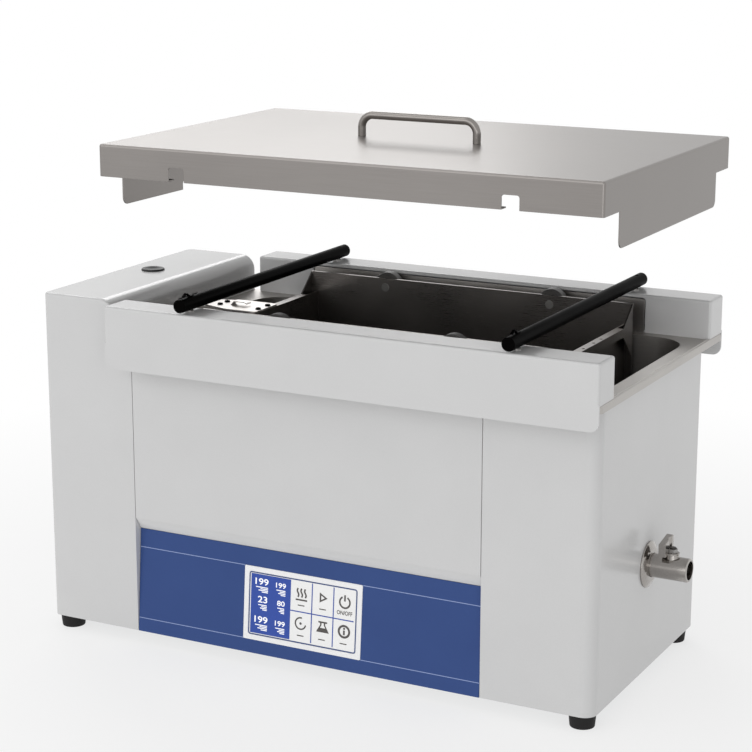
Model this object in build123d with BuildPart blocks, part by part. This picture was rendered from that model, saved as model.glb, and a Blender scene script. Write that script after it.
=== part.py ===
"""Ultrasonic shaker: a heated ultrasonic bath with a wheeled basket that a crank drive rocks along
its length, under a lift-off sheet-metal lid. Millimetres, +Z up, the origin on the bench under the
middle of the whole instrument, +X towards the drain valve, -Y towards the control panel."""

import os
from math import asin, atan2, cos, degrees, hypot, pi, sin, sqrt

from build123d import *

os.makedirs("parts", exist_ok=True)

BASE = (Align.CENTER, Align.CENTER, Align.MIN)
HANG = (Align.CENTER, Align.CENTER, Align.MAX)

# Housing sizes
body_length = 690.0
body_depth = 316.0
foot_height = 15.0
rim_height = 364.0  # top of the tank flange above the bench
tower_width = 98.0
tower_rise = 43.5  # the tower's top above the tank flange
tower_shoulder_radius = 18.0
tower_edge_radius = 3.0
left_column_width = 121.0
right_column_width = 130.5
sheet = 2.0  # painted steel sheet
left_corner_radius = 9.0
right_corner_radius = 15.0
rear_corner_radius = 4.0  # of the right wrap
seam = 0.6  # visible joint between neighbouring panels

# Control panel sizes
bevel_top = 153.7  # height where the front panel starts to slope inwards
recess_top = 138.2  # height of the upper edge of the control panel
recess_depth = 10.0
fascia_thickness = 2.5
foil_thickness = 0.5
screen_width = 150.6
screen_height = 86.0
screen_border = 5.8
screen_level = 16.0  # lower edge of the screen frame above the panel's lower edge
screen_offset = -1.6  # the screen sits a little left of the panel's middle
screen_proud = 0.8

# Tank sizes
tank_side_margin = 23.0  # from the body's front and rear to the tank's opening
tank_left_margin = 34.5  # from the tower to the tank's opening
tank_right_margin = 7.5
tank_depth = 150.0
tank_corner_radius = 40.0
tank_floor_radius = 20.0
tank_wall = 1.5
flange_lip_drop = 8.0
flange_lip_reach = 13.0  # how far the rolled edge stands out beyond the right side
flange_corner_radius = 6.0

# Rails along the front and rear of the tank
rail_overhang = 11.4  # beyond the body's right side
rail_left_gap = 10.9  # from the tower
rail_inset = 9.0  # the inner face stands behind the body's face
rail_reach = 33.7  # the outer face stands out from the body's face
rail_rise = 44.5
rail_wall = 2.5
rail_edge_radius = 3.0
skirt_drop = 26.9
skirt_corner_radius = 10.0
track_end_margin = 79.75  # from the rail's end to the track
track_sheet = 1.5
track_lip_drop = 33.0
track_lip_clearance = 3.5  # from the lip to the tank wall
ledge_end_margin = 38.5  # the ledge the wheels run on is this much shorter at each end

# Cross bars
bar_radius = 7.5
bar_washer = 1.5  # the bars stand off the rails by this much
bar_inset = 99.75  # from the rail's end to the bar's axis
bar_hole_inset = 18.0
bar_hole_radius = 2.5

# Basket
basket_end_gap = 65.5  # to the tank's end walls
basket_side_gap = 10.0  # to the tank's long walls
basket_rise = 38.0  # the basket's rim above the tank flange
basket_floor_gap = 22.0  # the basket's floor above the tank's
basket_sheet = 1.5
end_wall_inset = 8.0
end_wall_drop = 24.0  # the end walls are lower than the long walls
gusset_width = 28.0
hem_height = 5.0
hem_thickness = 2.0
roller_radius = 17.5
roller_width = 12.0
roller_inset = 102.5  # from the basket's end to the axle
roller_drop = 11.0
axle_radius = 4.0
running_gap = 0.3  # between pieces that move against each other

# Drive in the tower
stroke = 10.0  # the basket moves this far to each side of its middle
crank_pin_radius = 3.0
crank_roller_radius = 6.0
yoke_thickness = 6.0
yoke_bar = 7.0
arm_width = 30.0
arm_thickness = 5.0
arm_rise = 9.0  # the arm's underside above the tank flange
crank_disc_radius = 22.0
crank_disc_thickness = 7.0

# Drain valve
valve_reach = 48.0
valve_height = 139.5
valve_outer_radius = 13.25
valve_bore_radius = 10.5
valve_seat_radius = 9.0
outlet_depth = 7.5  # the wide mouth ends in front of the ball
valve_stem_setback = 20.0
valve_ball_radius = 11.8
valve_stem_radius = 4.0
rosette_radius = 26.0
drain_from_tank_end = 45.0

# Lid
lid_skirt = 35.7
lid_sheet = 1.5
lid_bend_radius = 3.0
lid_lift = 144.1  # the lid is shown held above its seat
lid_return = 12.0
flap_drop = 37.8
flap_side_gap = 1.0  # the flaps end this far short of the rails' inner faces
notch_width = 19.5
notch_height = 15.3
handle_span = 142.0
handle_rod_radius = 4.5
handle_height = 24.5
handle_bend_radius = 14.0

# Feet
foot_radius = 15.0
foot_inset_x = 17.0
foot_inset_y = 16.0

# Places worked out from the sizes
body_center = -valve_reach / 2
body_left = body_center - body_length / 2
body_right = body_center + body_length / 2
half_depth = body_depth / 2
tower_height = rim_height + tower_rise
left_seam = body_left + left_column_width
right_seam = body_right - right_column_width
tower_right = body_left + tower_width
panel_center = (left_seam + right_seam) / 2
panel_width = right_seam - left_seam - seam
flange_underside = rim_height - tank_wall
tank_right = body_right - tank_right_margin
tank_length = body_length - tower_width - tank_left_margin - tank_right_margin
tank_width = body_depth - 2 * tank_side_margin
tank_center = tank_right - tank_length / 2
tank_floor_z = rim_height - tank_depth
tank_underside = tank_floor_z - tank_wall
rail_length = body_length - tower_width + rail_overhang - rail_left_gap
rail_center = body_right + rail_overhang - rail_length / 2
rail_inner = half_depth - rail_inset
rail_outer = half_depth + rail_reach
rail_height = rim_height + rail_rise
skirt_height = rim_height - skirt_drop
track_length = rail_length - 2 * track_end_margin
ledge_length = track_length - 2 * ledge_end_margin
bar_half_pitch = rail_length / 2 - bar_inset
basket_length = tank_length - 2 * basket_end_gap
basket_width = tank_width - 2 * basket_side_gap
basket_height = rim_height + basket_rise
basket_floor = tank_floor_z + basket_floor_gap
end_wall_height = basket_height - end_wall_drop
roller_half_pitch = basket_length / 2 - roller_inset
arm_bottom = rim_height + arm_rise
lid_length = rail_length
lid_width = 2 * rail_outer
flap_half_width = rail_inner - flap_side_gap
lid_seat = rail_height + bar_washer + running_gap
lid_bottom = lid_seat + lid_lift
roller_z = basket_height - roller_drop
crank_x = body_left + tower_width / 2
valve_x = body_right + valve_reach
stem_x = valve_x - valve_stem_setback
deck_z = foot_height + sheet  # top of the base plate


def folded(points, thickness, side, bend=0.0):
    """Section of a folded sheet that follows the points, with rounded bends."""
    with BuildSketch() as section:
        with BuildLine():
            if bend:
                FilletPolyline(*points, radius=bend)
            else:
                Polyline(*points)
            offset(amount=thickness, side=side)
        make_face()
    return section.sketch


# Rubber feet with their screws, and the base plate they hang from
foot_places = [
    (body_center + sx * (body_length / 2 - foot_inset_x), sy * (half_depth - foot_inset_y))
    for sx in (-1, 1)
    for sy in (-1, 1)
]
foot_taper = 1.5
foot_screw_radius = 2.5
foot_recess_radius = 5.5
foot_recess_depth = 6.0
foot_screw_head_height = 3.0

with BuildPart() as rubber_feet:
    with BuildSketch(Plane.XY.offset(foot_height)):
        with Locations(*foot_places):
            Circle(foot_radius)
    extrude(amount=-foot_height, taper=degrees(atan2(foot_taper, foot_height)))
    with BuildSketch(Plane.XY):
        with Locations(*foot_places):
            Circle(foot_recess_radius)
    extrude(amount=foot_recess_depth, mode=Mode.SUBTRACT)
    with BuildSketch(Plane.XY):
        with Locations(*foot_places):
            Circle(foot_screw_radius)
    extrude(amount=foot_height, mode=Mode.SUBTRACT)
rubber_feet.part.label = "rubber_feet"
export_step(rubber_feet.part, "parts/rubber_feet.step")

with BuildPart() as foot_screws:
    with BuildSketch(Plane.XY.offset(foot_recess_depth)):
        with Locations(*foot_places):
            Circle(foot_screw_radius)
    extrude(amount=deck_z + foot_screw_head_height - foot_recess_depth)
    with BuildSketch(Plane.XY.offset(foot_recess_depth)):
        with Locations(*foot_places):
            Circle(foot_recess_radius - running_gap)
    extrude(amount=-foot_screw_head_height)
foot_screws.part.label = "foot_screws"
export_step(foot_screws.part, "parts/foot_screws.step")

base_clearance = 0.3
base_setback = 4.0  # the plate stops behind the control panel
vent_slot_length = 60.0
vent_slot_width = 5.0

with BuildPart() as base_plate:
    with BuildSketch(Plane.XY.offset(foot_height)):
        with Locations((body_center, 0)):
            RectangleRounded(
                body_length - 2 * (sheet + base_clearance),
                body_depth - 2 * (sheet + base_clearance),
                right_corner_radius,
            )
        with Locations((panel_center, -half_depth)):
            Rectangle(panel_width + 2 * seam, 2 * base_setback, mode=Mode.SUBTRACT)
        with Locations(*foot_places):
            Circle(foot_screw_radius, mode=Mode.SUBTRACT)
        with Locations((body_center, 0)):
            with GridLocations(3 * vent_slot_length, 3 * vent_slot_width, 3, 6):
                SlotOverall(vent_slot_length, vent_slot_width, mode=Mode.SUBTRACT)
    extrude(amount=sheet)
base_plate.part.label = "base_plate"
export_step(base_plate.part, "parts/base_plate.step")

# Left housing: the drive tower and the column under it, one painted shell open to the right, with
# a return flange behind the joint that closes the side of the control recess
seam_return = 18.0
seam_return_foot = deck_z + running_gap
arm_slot_width = 46.0
arm_slot_height = 18.0
tower_wall_foot = 20.0  # the tower's right wall reaches this far below the tank flange
plug_radius = 14.0
plug_neck_radius = 11.0
plug_x = body_left + 38.0
plug_y = 16.0


def tower_outline(inset, opening):
    """Front view of the tower and column; the opening pushes the right and lower sides out."""
    column_right = left_seam - seam / 2 + opening
    column_top = flange_underside + opening
    bottom = foot_height - opening
    wall_foot = flange_underside - tower_wall_foot
    tower_wall = [(tower_right, wall_foot), (tower_right - inset, wall_foot)] if inset else []
    with BuildSketch() as outline:
        with BuildLine():
            Polyline(
                (body_left + inset, bottom),
                (column_right, bottom),
                (column_right, column_top),
                (tower_right, column_top),
                *tower_wall,
                (tower_right - inset, tower_height - inset),
                (body_left + inset, tower_height - inset),
                close=True,
            )
        make_face()
    return outline.sketch


with BuildPart() as tower_void:
    with BuildSketch(Plane.XZ.offset(half_depth - sheet)) as void_face:
        add(tower_outline(sheet, seam + 1))
        top_right = void_face.vertices().group_by(Axis.Y)[-1].sort_by(Axis.X)[-1]
        fillet(top_right, tower_shoulder_radius - sheet)
    extrude(amount=-(body_depth - 2 * sheet))
    void_corners = tower_void.edges().filter_by(Axis.Z).group_by(Axis.X)[0]
    fillet(void_corners, left_corner_radius - sheet)

with BuildPart() as left_housing:
    with BuildSketch(Plane.XZ.offset(half_depth)):
        add(tower_outline(0, 0))
    extrude(amount=-body_depth)
    shoulder = left_housing.edges().filter_by(Axis.Y).group_by(Axis.Z)[-1].sort_by(Axis.X)
    fillet(shoulder[-1], tower_shoulder_radius)
    corners = left_housing.edges().filter_by(Axis.Z).group_by(Axis.X)[0]
    fillet(corners, left_corner_radius)
    fillet(left_housing.edges().group_by(Axis.Z)[-1].group_by(Axis.X)[0], tower_edge_radius)
    add(tower_void.part, mode=Mode.SUBTRACT)
    with BuildSketch(Plane.XY.offset(seam_return_foot)):
        with Locations((left_seam - seam / 2, -half_depth)):
            Rectangle(sheet, seam_return, align=(Align.MAX, Align.MIN))
    extrude(amount=flange_underside - seam_return_foot)
    with BuildSketch(Plane.YZ.offset(tower_right - 2 * sheet)):
        with Locations((0, arm_bottom + arm_thickness / 2)):
            RectangleRounded(arm_slot_width, arm_slot_height, 3)
    extrude(amount=3 * sheet, mode=Mode.SUBTRACT)
    with BuildSketch(Plane.XY.offset(tower_height)):
        with Locations((plug_x, plug_y)):
            Circle(plug_neck_radius)
    extrude(amount=-2 * sheet, mode=Mode.SUBTRACT)
left_housing.part.label = "left_housing"
export_step(left_housing.part, "parts/left_housing.step")

plug_dish_radius = 26.0
plug_proud = 2.2
plug_dish_depth = 2.6
plug_neck_depth = 5.0
with BuildPart() as tower_plug:
    with BuildSketch(Plane.XY.offset(tower_height)):
        with Locations((plug_x, plug_y)):
            Circle(plug_radius)
    extrude(amount=plug_proud)
    chamfer(tower_plug.edges().group_by(Axis.Z)[-1], 1.0)
    with BuildSketch(Plane.XY.offset(tower_height)):
        with Locations((plug_x, plug_y)):
            Circle(plug_neck_radius)
    extrude(amount=-plug_neck_depth)
    with Locations((plug_x, plug_y, tower_height + plug_proud - plug_dish_depth + plug_dish_radius)):
        Sphere(plug_dish_radius, mode=Mode.SUBTRACT)
tower_plug.part.label = "tower_plug"
export_step(tower_plug.part, "parts/tower_plug.step")

# Right housing: a painted wrap around the right end, open to the left and on top
with BuildPart() as right_housing:
    with BuildSketch(Plane.XY.offset(foot_height)) as wrap:
        with Locations(((right_seam + seam / 2 + body_right) / 2, 0)):
            Rectangle(right_column_width - seam / 2, body_depth)
        fillet(wrap.vertices().group_by(Axis.X)[-1].sort_by(Axis.Y)[0], right_corner_radius)
        fillet(wrap.vertices().group_by(Axis.X)[-1].sort_by(Axis.Y)[-1], rear_corner_radius)
    extrude(amount=flange_underside - foot_height)
    with BuildSketch(Plane.XY.offset(foot_height)) as wrap_void:
        with Locations(((right_seam + body_right - sheet) / 2, 0)):
            Rectangle(right_column_width - sheet, body_depth - 2 * sheet)
        front_corner = wrap_void.vertices().group_by(Axis.X)[-1].sort_by(Axis.Y)[0]
        fillet(front_corner, right_corner_radius - sheet)
        rear_corner = wrap_void.vertices().group_by(Axis.X)[-1].sort_by(Axis.Y)[-1]
        fillet(rear_corner, rear_corner_radius - sheet)
    extrude(amount=flange_underside - foot_height, mode=Mode.SUBTRACT)
    with BuildSketch(Plane.XY.offset(seam_return_foot)):
        with Locations((right_seam + seam / 2, -half_depth)):
            Rectangle(sheet, seam_return, align=(Align.MIN, Align.MIN))
    extrude(amount=flange_underside - seam_return_foot)
    with BuildSketch(Plane.YZ.offset(body_right - 2 * sheet)):
        with Locations((0, valve_height)):
            Circle(valve_outer_radius + running_gap)
    extrude(amount=3 * sheet, mode=Mode.SUBTRACT)
right_housing.part.label = "right_housing"
export_step(right_housing.part, "parts/right_housing.step")

# Control panel plane: it leans back from the lower front edge into the recess
panel_rise = recess_top - foot_height
panel_height = hypot(panel_rise, recess_depth)
lean_out = panel_rise / panel_height
lean_up = recess_depth / panel_height
panel_plane = Plane(
    origin=(panel_center, -half_depth, foot_height),
    x_dir=(1, 0, 0),
    z_dir=(0, -lean_out, lean_up),
)
fascia_plane = panel_plane.offset(-foil_thickness)
fascia_back_plane = fascia_plane.offset(-fascia_thickness)
screen_y = screen_level + screen_height / 2
return_height = 14.0

# Front panel: flat above, folded inwards over the recess and down behind the control panel
back_offset_y = (foil_thickness + fascia_thickness) / lean_out + running_gap * recess_depth / panel_rise
recess_y = -half_depth + recess_depth
bend_y = recess_y + back_offset_y
return_slope = recess_depth / panel_rise
with BuildPart() as front_panel:
    with BuildSketch(Plane.YZ.offset(left_seam + seam / 2)):
        add(folded(
            [
                (-half_depth, flange_underside),
                (-half_depth, bevel_top),
                (recess_y, recess_top + running_gap),
                (bend_y, recess_top + running_gap),
                (bend_y - return_height * return_slope, recess_top - return_height),
            ],
            sheet,
            Side.LEFT,
        ))
    extrude(amount=panel_width)
front_panel.part.label = "front_panel"
export_step(front_panel.part, "parts/front_panel.step")

with BuildPart() as control_panel:
    with BuildSketch(fascia_plane):
        with Locations((0, panel_height / 2)):
            Rectangle(panel_width, panel_height)
        with Locations((screen_offset, screen_y)):
            Rectangle(
                screen_width - 2 * screen_border,
                screen_height - 2 * screen_border,
                mode=Mode.SUBTRACT,
            )
    extrude(amount=-fascia_thickness)
control_panel.part.label = "control_panel"
export_step(control_panel.part, "parts/control_panel.step")

with BuildPart() as panel_foil:
    with BuildSketch(fascia_plane):
        with Locations((0, panel_height / 2)):
            Rectangle(panel_width, panel_height)
        with Locations((screen_offset, screen_y)):
            Rectangle(screen_width, screen_height, mode=Mode.SUBTRACT)
    extrude(amount=foil_thickness)
panel_foil.part.label = "panel_foil"
export_step(panel_foil.part, "parts/panel_foil.step")

glass_corner = 3.0
with BuildPart() as screen_frame:
    with BuildSketch(fascia_plane):
        with Locations((screen_offset, screen_y)):
            RectangleRounded(screen_width, screen_height, 1.5)
            RectangleRounded(
                screen_width - 2 * screen_border,
                screen_height - 2 * screen_border,
                glass_corner,
                mode=Mode.SUBTRACT,
            )
    extrude(amount=foil_thickness + screen_proud)
screen_frame.part.label = "screen_frame"
export_step(screen_frame.part, "parts/screen_frame.step")

glass_fit = 0.1
with BuildPart() as touch_screen:
    with BuildSketch(fascia_back_plane):
        with Locations((screen_offset, screen_y)):
            RectangleRounded(
                screen_width - 2 * (screen_border + glass_fit),
                screen_height - 2 * (screen_border + glass_fit),
                glass_corner,
            )
    extrude(amount=fascia_thickness + foil_thickness + screen_proud / 2)
touch_screen.part.label = "touch_screen"
export_step(touch_screen.part, "parts/touch_screen.step")

# Control board behind the screen, on four pillars
board_thickness = 1.6
board_overlap = 20.0  # the board is this much taller than the screen
board_side_margin = 6.0
pillar_height = 9.0
pillar_radius = 3.0
component_height = 8.0
with BuildPart() as control_board:
    with BuildSketch(fascia_back_plane):
        with Locations((screen_offset, screen_y)):
            with GridLocations(screen_width, screen_height + board_overlap - 2 * screen_border, 2, 2):
                Circle(pillar_radius)
    extrude(amount=-pillar_height)
    with BuildSketch(fascia_back_plane.offset(-pillar_height)):
        with Locations((screen_offset, screen_y)):
            Rectangle(screen_width + 2 * board_side_margin, screen_height + board_overlap)
    extrude(amount=-board_thickness)
    with BuildSketch(fascia_back_plane.offset(-pillar_height - board_thickness)):
        with Locations((screen_offset - 45, screen_y)):
            Rectangle(36, 28)
        with Locations((screen_offset + 20, screen_y + 15)):
            Rectangle(50, 20)
    extrude(amount=-component_height)
control_board.part.label = "control_board"
export_step(control_board.part, "parts/control_board.step")

# Rear panel with its fan opening, vents, inlet and switch
fan_size = 92.0
fan_depth = 25.0
fan_x = right_seam - 80.0
fan_z = 110.0
fan_bore_radius = 43.0
inlet_width = 27.5
inlet_height = 47.0
inlet_x = left_seam + 60.0
inlet_z = 70.0
switch_width = 13.0
switch_height = 19.5
switch_x = inlet_x + 45.0
louvre_count = 9
louvre_pitch = 12.0
louvre_column_pitch = 110.0
louvre_length = 80.0
louvre_width = 4.0
louvre_z = rim_height - 94.0
screw_radius = 2.0
screw_head_radius = 4.0
screw_head_height = 2.2
screw_tail = 6.0  # thread that reaches past the sheet
rear_screw_inset = 12.0
rear_screw_margin = 32.0
rear_screw_places = [
    (x, z)
    for x in (left_seam + rear_screw_inset, right_seam - rear_screw_inset)
    for z in (
        foot_height + rear_screw_margin,
        (foot_height + rim_height) / 2,
        rim_height - rear_screw_margin,
    )
]
rear_plane = Plane(origin=(0, half_depth, 0), x_dir=(-1, 0, 0), z_dir=(0, 1, 0))
grille_rib = 6.0
grille_slot_width = 6.0
grille_radii = (14, 23, 32, 41)


def grille_slot(ring_radius, angle):
    """Curved air slot of the fan grille, a quarter of a ring less the rib between two slots."""
    rib_half = degrees(asin(grille_rib / 2 / ring_radius))
    with BuildSketch() as slot:
        with BuildLine():
            outer = CenterArc((0, 0), ring_radius, angle + rib_half, 90 - 2 * rib_half)
            inner = CenterArc(
                (0, 0), ring_radius - grille_slot_width, angle + rib_half, 90 - 2 * rib_half
            )
            Line(outer @ 0, inner @ 0)
            Line(outer @ 1, inner @ 1)
        make_face()
    return slot.sketch


with BuildPart() as rear_panel:
    with BuildSketch(rear_plane):
        with Locations((-panel_center, (foot_height + flange_underside) / 2)):
            Rectangle(panel_width, flange_underside - foot_height)
        with Locations((-fan_x, fan_z)):
            for ring_radius in grille_radii:
                for k in range(4):
                    add(grille_slot(ring_radius, 90 * k), mode=Mode.SUBTRACT)
        with Locations((-inlet_x, inlet_z)):
            Rectangle(inlet_width, inlet_height, mode=Mode.SUBTRACT)
        with Locations((-switch_x, inlet_z)):
            Rectangle(switch_width, switch_height, mode=Mode.SUBTRACT)
        with Locations((-panel_center, louvre_z)):
            with GridLocations(louvre_column_pitch, louvre_pitch, 3, louvre_count):
                SlotOverall(louvre_length, louvre_width, mode=Mode.SUBTRACT)
        with Locations(*[(-x, z) for x, z in rear_screw_places]):
            Circle(screw_radius, mode=Mode.SUBTRACT)
    extrude(amount=-sheet)
rear_panel.part.label = "rear_panel"
export_step(rear_panel.part, "parts/rear_panel.step")

with BuildPart() as rear_panel_screws:
    with BuildSketch(rear_plane.offset(-sheet - screw_tail)):
        with Locations(*[(-x, z) for x, z in rear_screw_places]):
            Circle(screw_radius)
    extrude(amount=sheet + screw_tail)
    with BuildSketch(rear_plane):
        with Locations(*[(-x, z) for x, z in rear_screw_places]):
            Circle(screw_head_radius)
    extrude(amount=screw_head_height, taper=20)
rear_panel_screws.part.label = "rear_panel_screws"
export_step(rear_panel_screws.part, "parts/rear_panel_screws.step")

# Power inlet with its three pins, snapped into the rear panel
inlet_flange = 3.0
inlet_lip = 2.0
inlet_depth = 28.0
socket_width = 24.0
socket_height = 18.0
socket_rise = 9.0  # the socket sits above the middle of the inlet, the fuse drawer below
socket_depth_inside = 18.0
pin_width = 2.0
pin_height = 4.0
pin_length = 16.0
fuse_drawer_drop = 13.0
with BuildPart() as power_inlet:
    with BuildSketch(rear_plane):
        with Locations((-inlet_x, inlet_z)):
            RectangleRounded(inlet_width + 2 * inlet_flange, inlet_height + 2 * inlet_flange, 2)
    extrude(amount=inlet_lip)
    with BuildSketch(rear_plane):
        with Locations((-inlet_x, inlet_z)):
            Rectangle(inlet_width, inlet_height)
    extrude(amount=-inlet_depth)
    with BuildSketch(rear_plane.offset(inlet_lip)) as socket_mouth:
        with Locations((-inlet_x, inlet_z + socket_rise)):
            Rectangle(socket_width, socket_height)
        upper = socket_mouth.vertices().group_by(Axis.Y)[-1]
        chamfer(upper, 4)
    extrude(amount=-(inlet_lip + socket_depth_inside), mode=Mode.SUBTRACT)
    with BuildSketch(rear_plane.offset(-socket_depth_inside)):
        with Locations(*[(-inlet_x + dx, inlet_z + dz) for dx, dz in ((-7, 8), (0, 12), (7, 8))]):
            Rectangle(pin_width, pin_height)
    extrude(amount=pin_length)
    with BuildSketch(rear_plane.offset(inlet_lip)):
        with Locations((-inlet_x, inlet_z - fuse_drawer_drop)):
            RectangleRounded(22, 12, 1.5)
    extrude(amount=1.2)
power_inlet.part.label = "power_inlet"
export_step(power_inlet.part, "parts/power_inlet.step")

# Rocker switch: a frame in the rear panel and the rocker that tips in it
rocker_gap = 0.35
rocker_throw = 7.0  # degrees from the middle to each side
rocker_pin_radius = 1.0
with BuildPart() as switch_frame:
    with BuildSketch(rear_plane):
        with Locations((-switch_x, inlet_z)):
            RectangleRounded(switch_width + 4, switch_height + 4, 1.5)
    extrude(amount=2)
    with BuildSketch(rear_plane):
        with Locations((-switch_x, inlet_z)):
            Rectangle(switch_width, switch_height)
    extrude(amount=-16)
    with BuildSketch(rear_plane.offset(2)):
        with Locations((-switch_x, inlet_z)):
            Rectangle(switch_width - 2, switch_height - 2)
    extrude(amount=-11, mode=Mode.SUBTRACT)
    with BuildSketch(Plane.YZ.offset(switch_x - switch_width / 2 + 1 - 0.2)):
        with Locations((half_depth - 3, inlet_z)):
            Circle(rocker_pin_radius)
    extrude(amount=switch_width - 2 + 0.4)
switch_frame.part.label = "switch_frame"
export_step(switch_frame.part, "parts/switch_frame.step")

rocker_half = switch_height / 2 - 1 - 3 * rocker_gap
with BuildPart() as switch_rocker:
    with BuildSketch(Plane.YZ.offset(switch_x - switch_width / 2 + 1 + rocker_gap)):
        with BuildLine():
            Polyline(
                (half_depth - 5.5, inlet_z - rocker_half * 0.7),
                (half_depth + 2.2, inlet_z - rocker_half),
                (half_depth + 2.8, inlet_z - rocker_half + 1),
            )
            ThreePointArc(
                (half_depth + 2.8, inlet_z - rocker_half + 1),
                (half_depth + 1.4, inlet_z),
                (half_depth + 2.8, inlet_z + rocker_half - 1),
            )
            Polyline(
                (half_depth + 2.8, inlet_z + rocker_half - 1),
                (half_depth + 2.2, inlet_z + rocker_half),
                (half_depth - 5.5, inlet_z + rocker_half * 0.7),
                (half_depth - 5.5, inlet_z - rocker_half * 0.7),
            )
        make_face()
        with Locations((half_depth - 3, inlet_z)):
            Circle(rocker_pin_radius + running_gap, mode=Mode.SUBTRACT)
    extrude(amount=switch_width - 2 - 2 * rocker_gap)
switch_rocker.part.label = "switch_rocker"
export_step(switch_rocker.part, "parts/switch_rocker.step")

# Cooling fan behind the grille of the rear panel
fan_hub_radius = 19.0
fan_spindle_radius = 2.0
fan_blades = 7
fan_front_y = half_depth - sheet - fan_depth
fan_plane = Plane(origin=(fan_x, fan_front_y, fan_z), x_dir=(-1, 0, 0), z_dir=(0, 1, 0))
fan_plate = 3.0
with BuildPart() as fan_frame:
    with BuildSketch(fan_plane):
        RectangleRounded(fan_size, fan_size, 5)
    extrude(amount=fan_depth)
    with BuildSketch(fan_plane.offset(fan_plate)):
        Circle(fan_bore_radius)
    extrude(amount=fan_depth - fan_plate, mode=Mode.SUBTRACT)
    with BuildSketch(fan_plane):
        Circle(fan_bore_radius)
        Circle(fan_hub_radius, mode=Mode.SUBTRACT)
        with PolarLocations(fan_bore_radius / 2 + fan_hub_radius / 2, 4):
            Rectangle(fan_bore_radius, 5, mode=Mode.SUBTRACT)
    extrude(amount=fan_plate, mode=Mode.SUBTRACT)
    with BuildSketch(fan_plane):
        Circle(fan_spindle_radius)
    extrude(amount=fan_depth - 4)
fan_frame.part.label = "fan_frame"
export_step(fan_frame.part, "parts/fan_frame.step")

blade_tip_gap = 1.2
blade_root = 2.0  # the blades are rooted this deep in the hub
blade_chord = 20.0
blade_thickness = 1.6
blade_pitch = 38.0  # degrees
with BuildPart() as fan_rotor:
    with BuildSketch(fan_plane.offset(fan_plate + running_gap)):
        Circle(fan_hub_radius - 1)
    extrude(amount=fan_depth - fan_plate - 3)
    for k in range(fan_blades):
        turn = 2 * pi * k / fan_blades
        across = Plane(
            origin=fan_plane.offset(fan_depth / 2 + 1).origin,
            x_dir=(0, 1, 0),
            z_dir=(cos(turn), 0, sin(turn)),
        )
        with BuildSketch(across.offset(fan_hub_radius - blade_root)):
            Rectangle(blade_chord, blade_thickness, rotation=blade_pitch)
        extrude(amount=fan_bore_radius - blade_tip_gap - fan_hub_radius + blade_root)
    with BuildSketch(fan_plane):
        Circle(fan_spindle_radius + running_gap)
    extrude(amount=fan_depth - 3.6, mode=Mode.SUBTRACT)
fan_rotor.part.label = "fan_rotor"
export_step(fan_rotor.part, "parts/fan_rotor.step")

# Tank: one deep-drawn stainless trough with a wide flange and a rolled edge at the right
tank_drain_x = tank_right - drain_from_tank_end
drain_hole_radius = 11.0
flange_left = tower_right + 0.5
flange_right = body_right + flange_lip_reach
flange_width = 2 * (rail_outer - rail_wall - running_gap)  # under the rails, between their skirts
flange_wing_left = rail_center - rail_length / 2 + rail_wall
roll_run = flange_corner_radius + 2.0
roll_radius = 3.0
bead_radius = 1.6
bead_rise = 0.8
bead_inset = 4.5
with BuildPart() as rolled_edge:
    with BuildSketch(Plane.XY.offset(rim_height - flange_lip_drop)) as roll_outline:
        with Locations((flange_right, 0)):
            Rectangle(roll_run, flange_width, align=(Align.MAX, Align.CENTER))
        fillet(roll_outline.vertices().group_by(Axis.X)[-1], flange_corner_radius)
    extrude(amount=flange_lip_drop)
    outer_rim = rolled_edge.edges().group_by(Axis.Z)[-1].sort_by(Axis.X)[1:]
    fillet(outer_rim, roll_radius)
    with BuildSketch(Plane.XY.offset(rim_height - flange_lip_drop)) as roll_hollow:
        with Locations((flange_right - tank_wall, 0)):
            Rectangle(roll_run, flange_width - 2 * tank_wall, align=(Align.MAX, Align.CENTER))
        fillet(roll_hollow.vertices().group_by(Axis.X)[-1], flange_corner_radius - tank_wall)
    extrude(amount=flange_lip_drop - tank_wall, mode=Mode.SUBTRACT)

with BuildPart() as tank_cavity:
    with BuildSketch(Plane.XY.offset(tank_floor_z)):
        with Locations((tank_center, 0)):
            RectangleRounded(tank_length, tank_width, tank_corner_radius)
    extrude(amount=tank_depth + 1)
    fillet(tank_cavity.faces().sort_by(Axis.Z)[0].edges(), tank_floor_radius)

with BuildPart() as tank:
    with BuildSketch(Plane.XY.offset(tank_underside)):
        with Locations((tank_center, 0)):
            RectangleRounded(
                tank_length + 2 * tank_wall,
                tank_width + 2 * tank_wall,
                tank_corner_radius + tank_wall,
            )
    extrude(amount=rim_height - tank_underside)
    fillet(tank.faces().sort_by(Axis.Z)[0].edges(), tank_floor_radius + tank_wall)
    with BuildSketch(Plane.XY.offset(flange_underside)):
        with Locations((flange_left, 0)):
            Rectangle(
                flange_right - roll_run - flange_left,
                body_depth,
                align=(Align.MIN, Align.CENTER),
            )
        with Locations((flange_wing_left, 0)):
            Rectangle(
                flange_right - roll_run - flange_wing_left,
                flange_width,
                align=(Align.MIN, Align.CENTER),
            )
    extrude(amount=tank_wall)
    add(rolled_edge.part)
    with BuildSketch(Plane.XZ.offset(rail_inner - 1)):
        with Locations((flange_right - bead_inset, rim_height + bead_rise - bead_radius)):
            Circle(bead_radius)
    extrude(amount=-2 * (rail_inner - 1))
    add(tank_cavity.part, mode=Mode.SUBTRACT)
    with BuildSketch(Plane.XY.offset(tank_underside - 1)):
        with Locations((tank_drain_x, 0)):
            Circle(drain_hole_radius)
    extrude(amount=4 * tank_wall, mode=Mode.SUBTRACT)
tank.part.label = "tank"
export_step(tank.part, "parts/tank.step")

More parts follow.
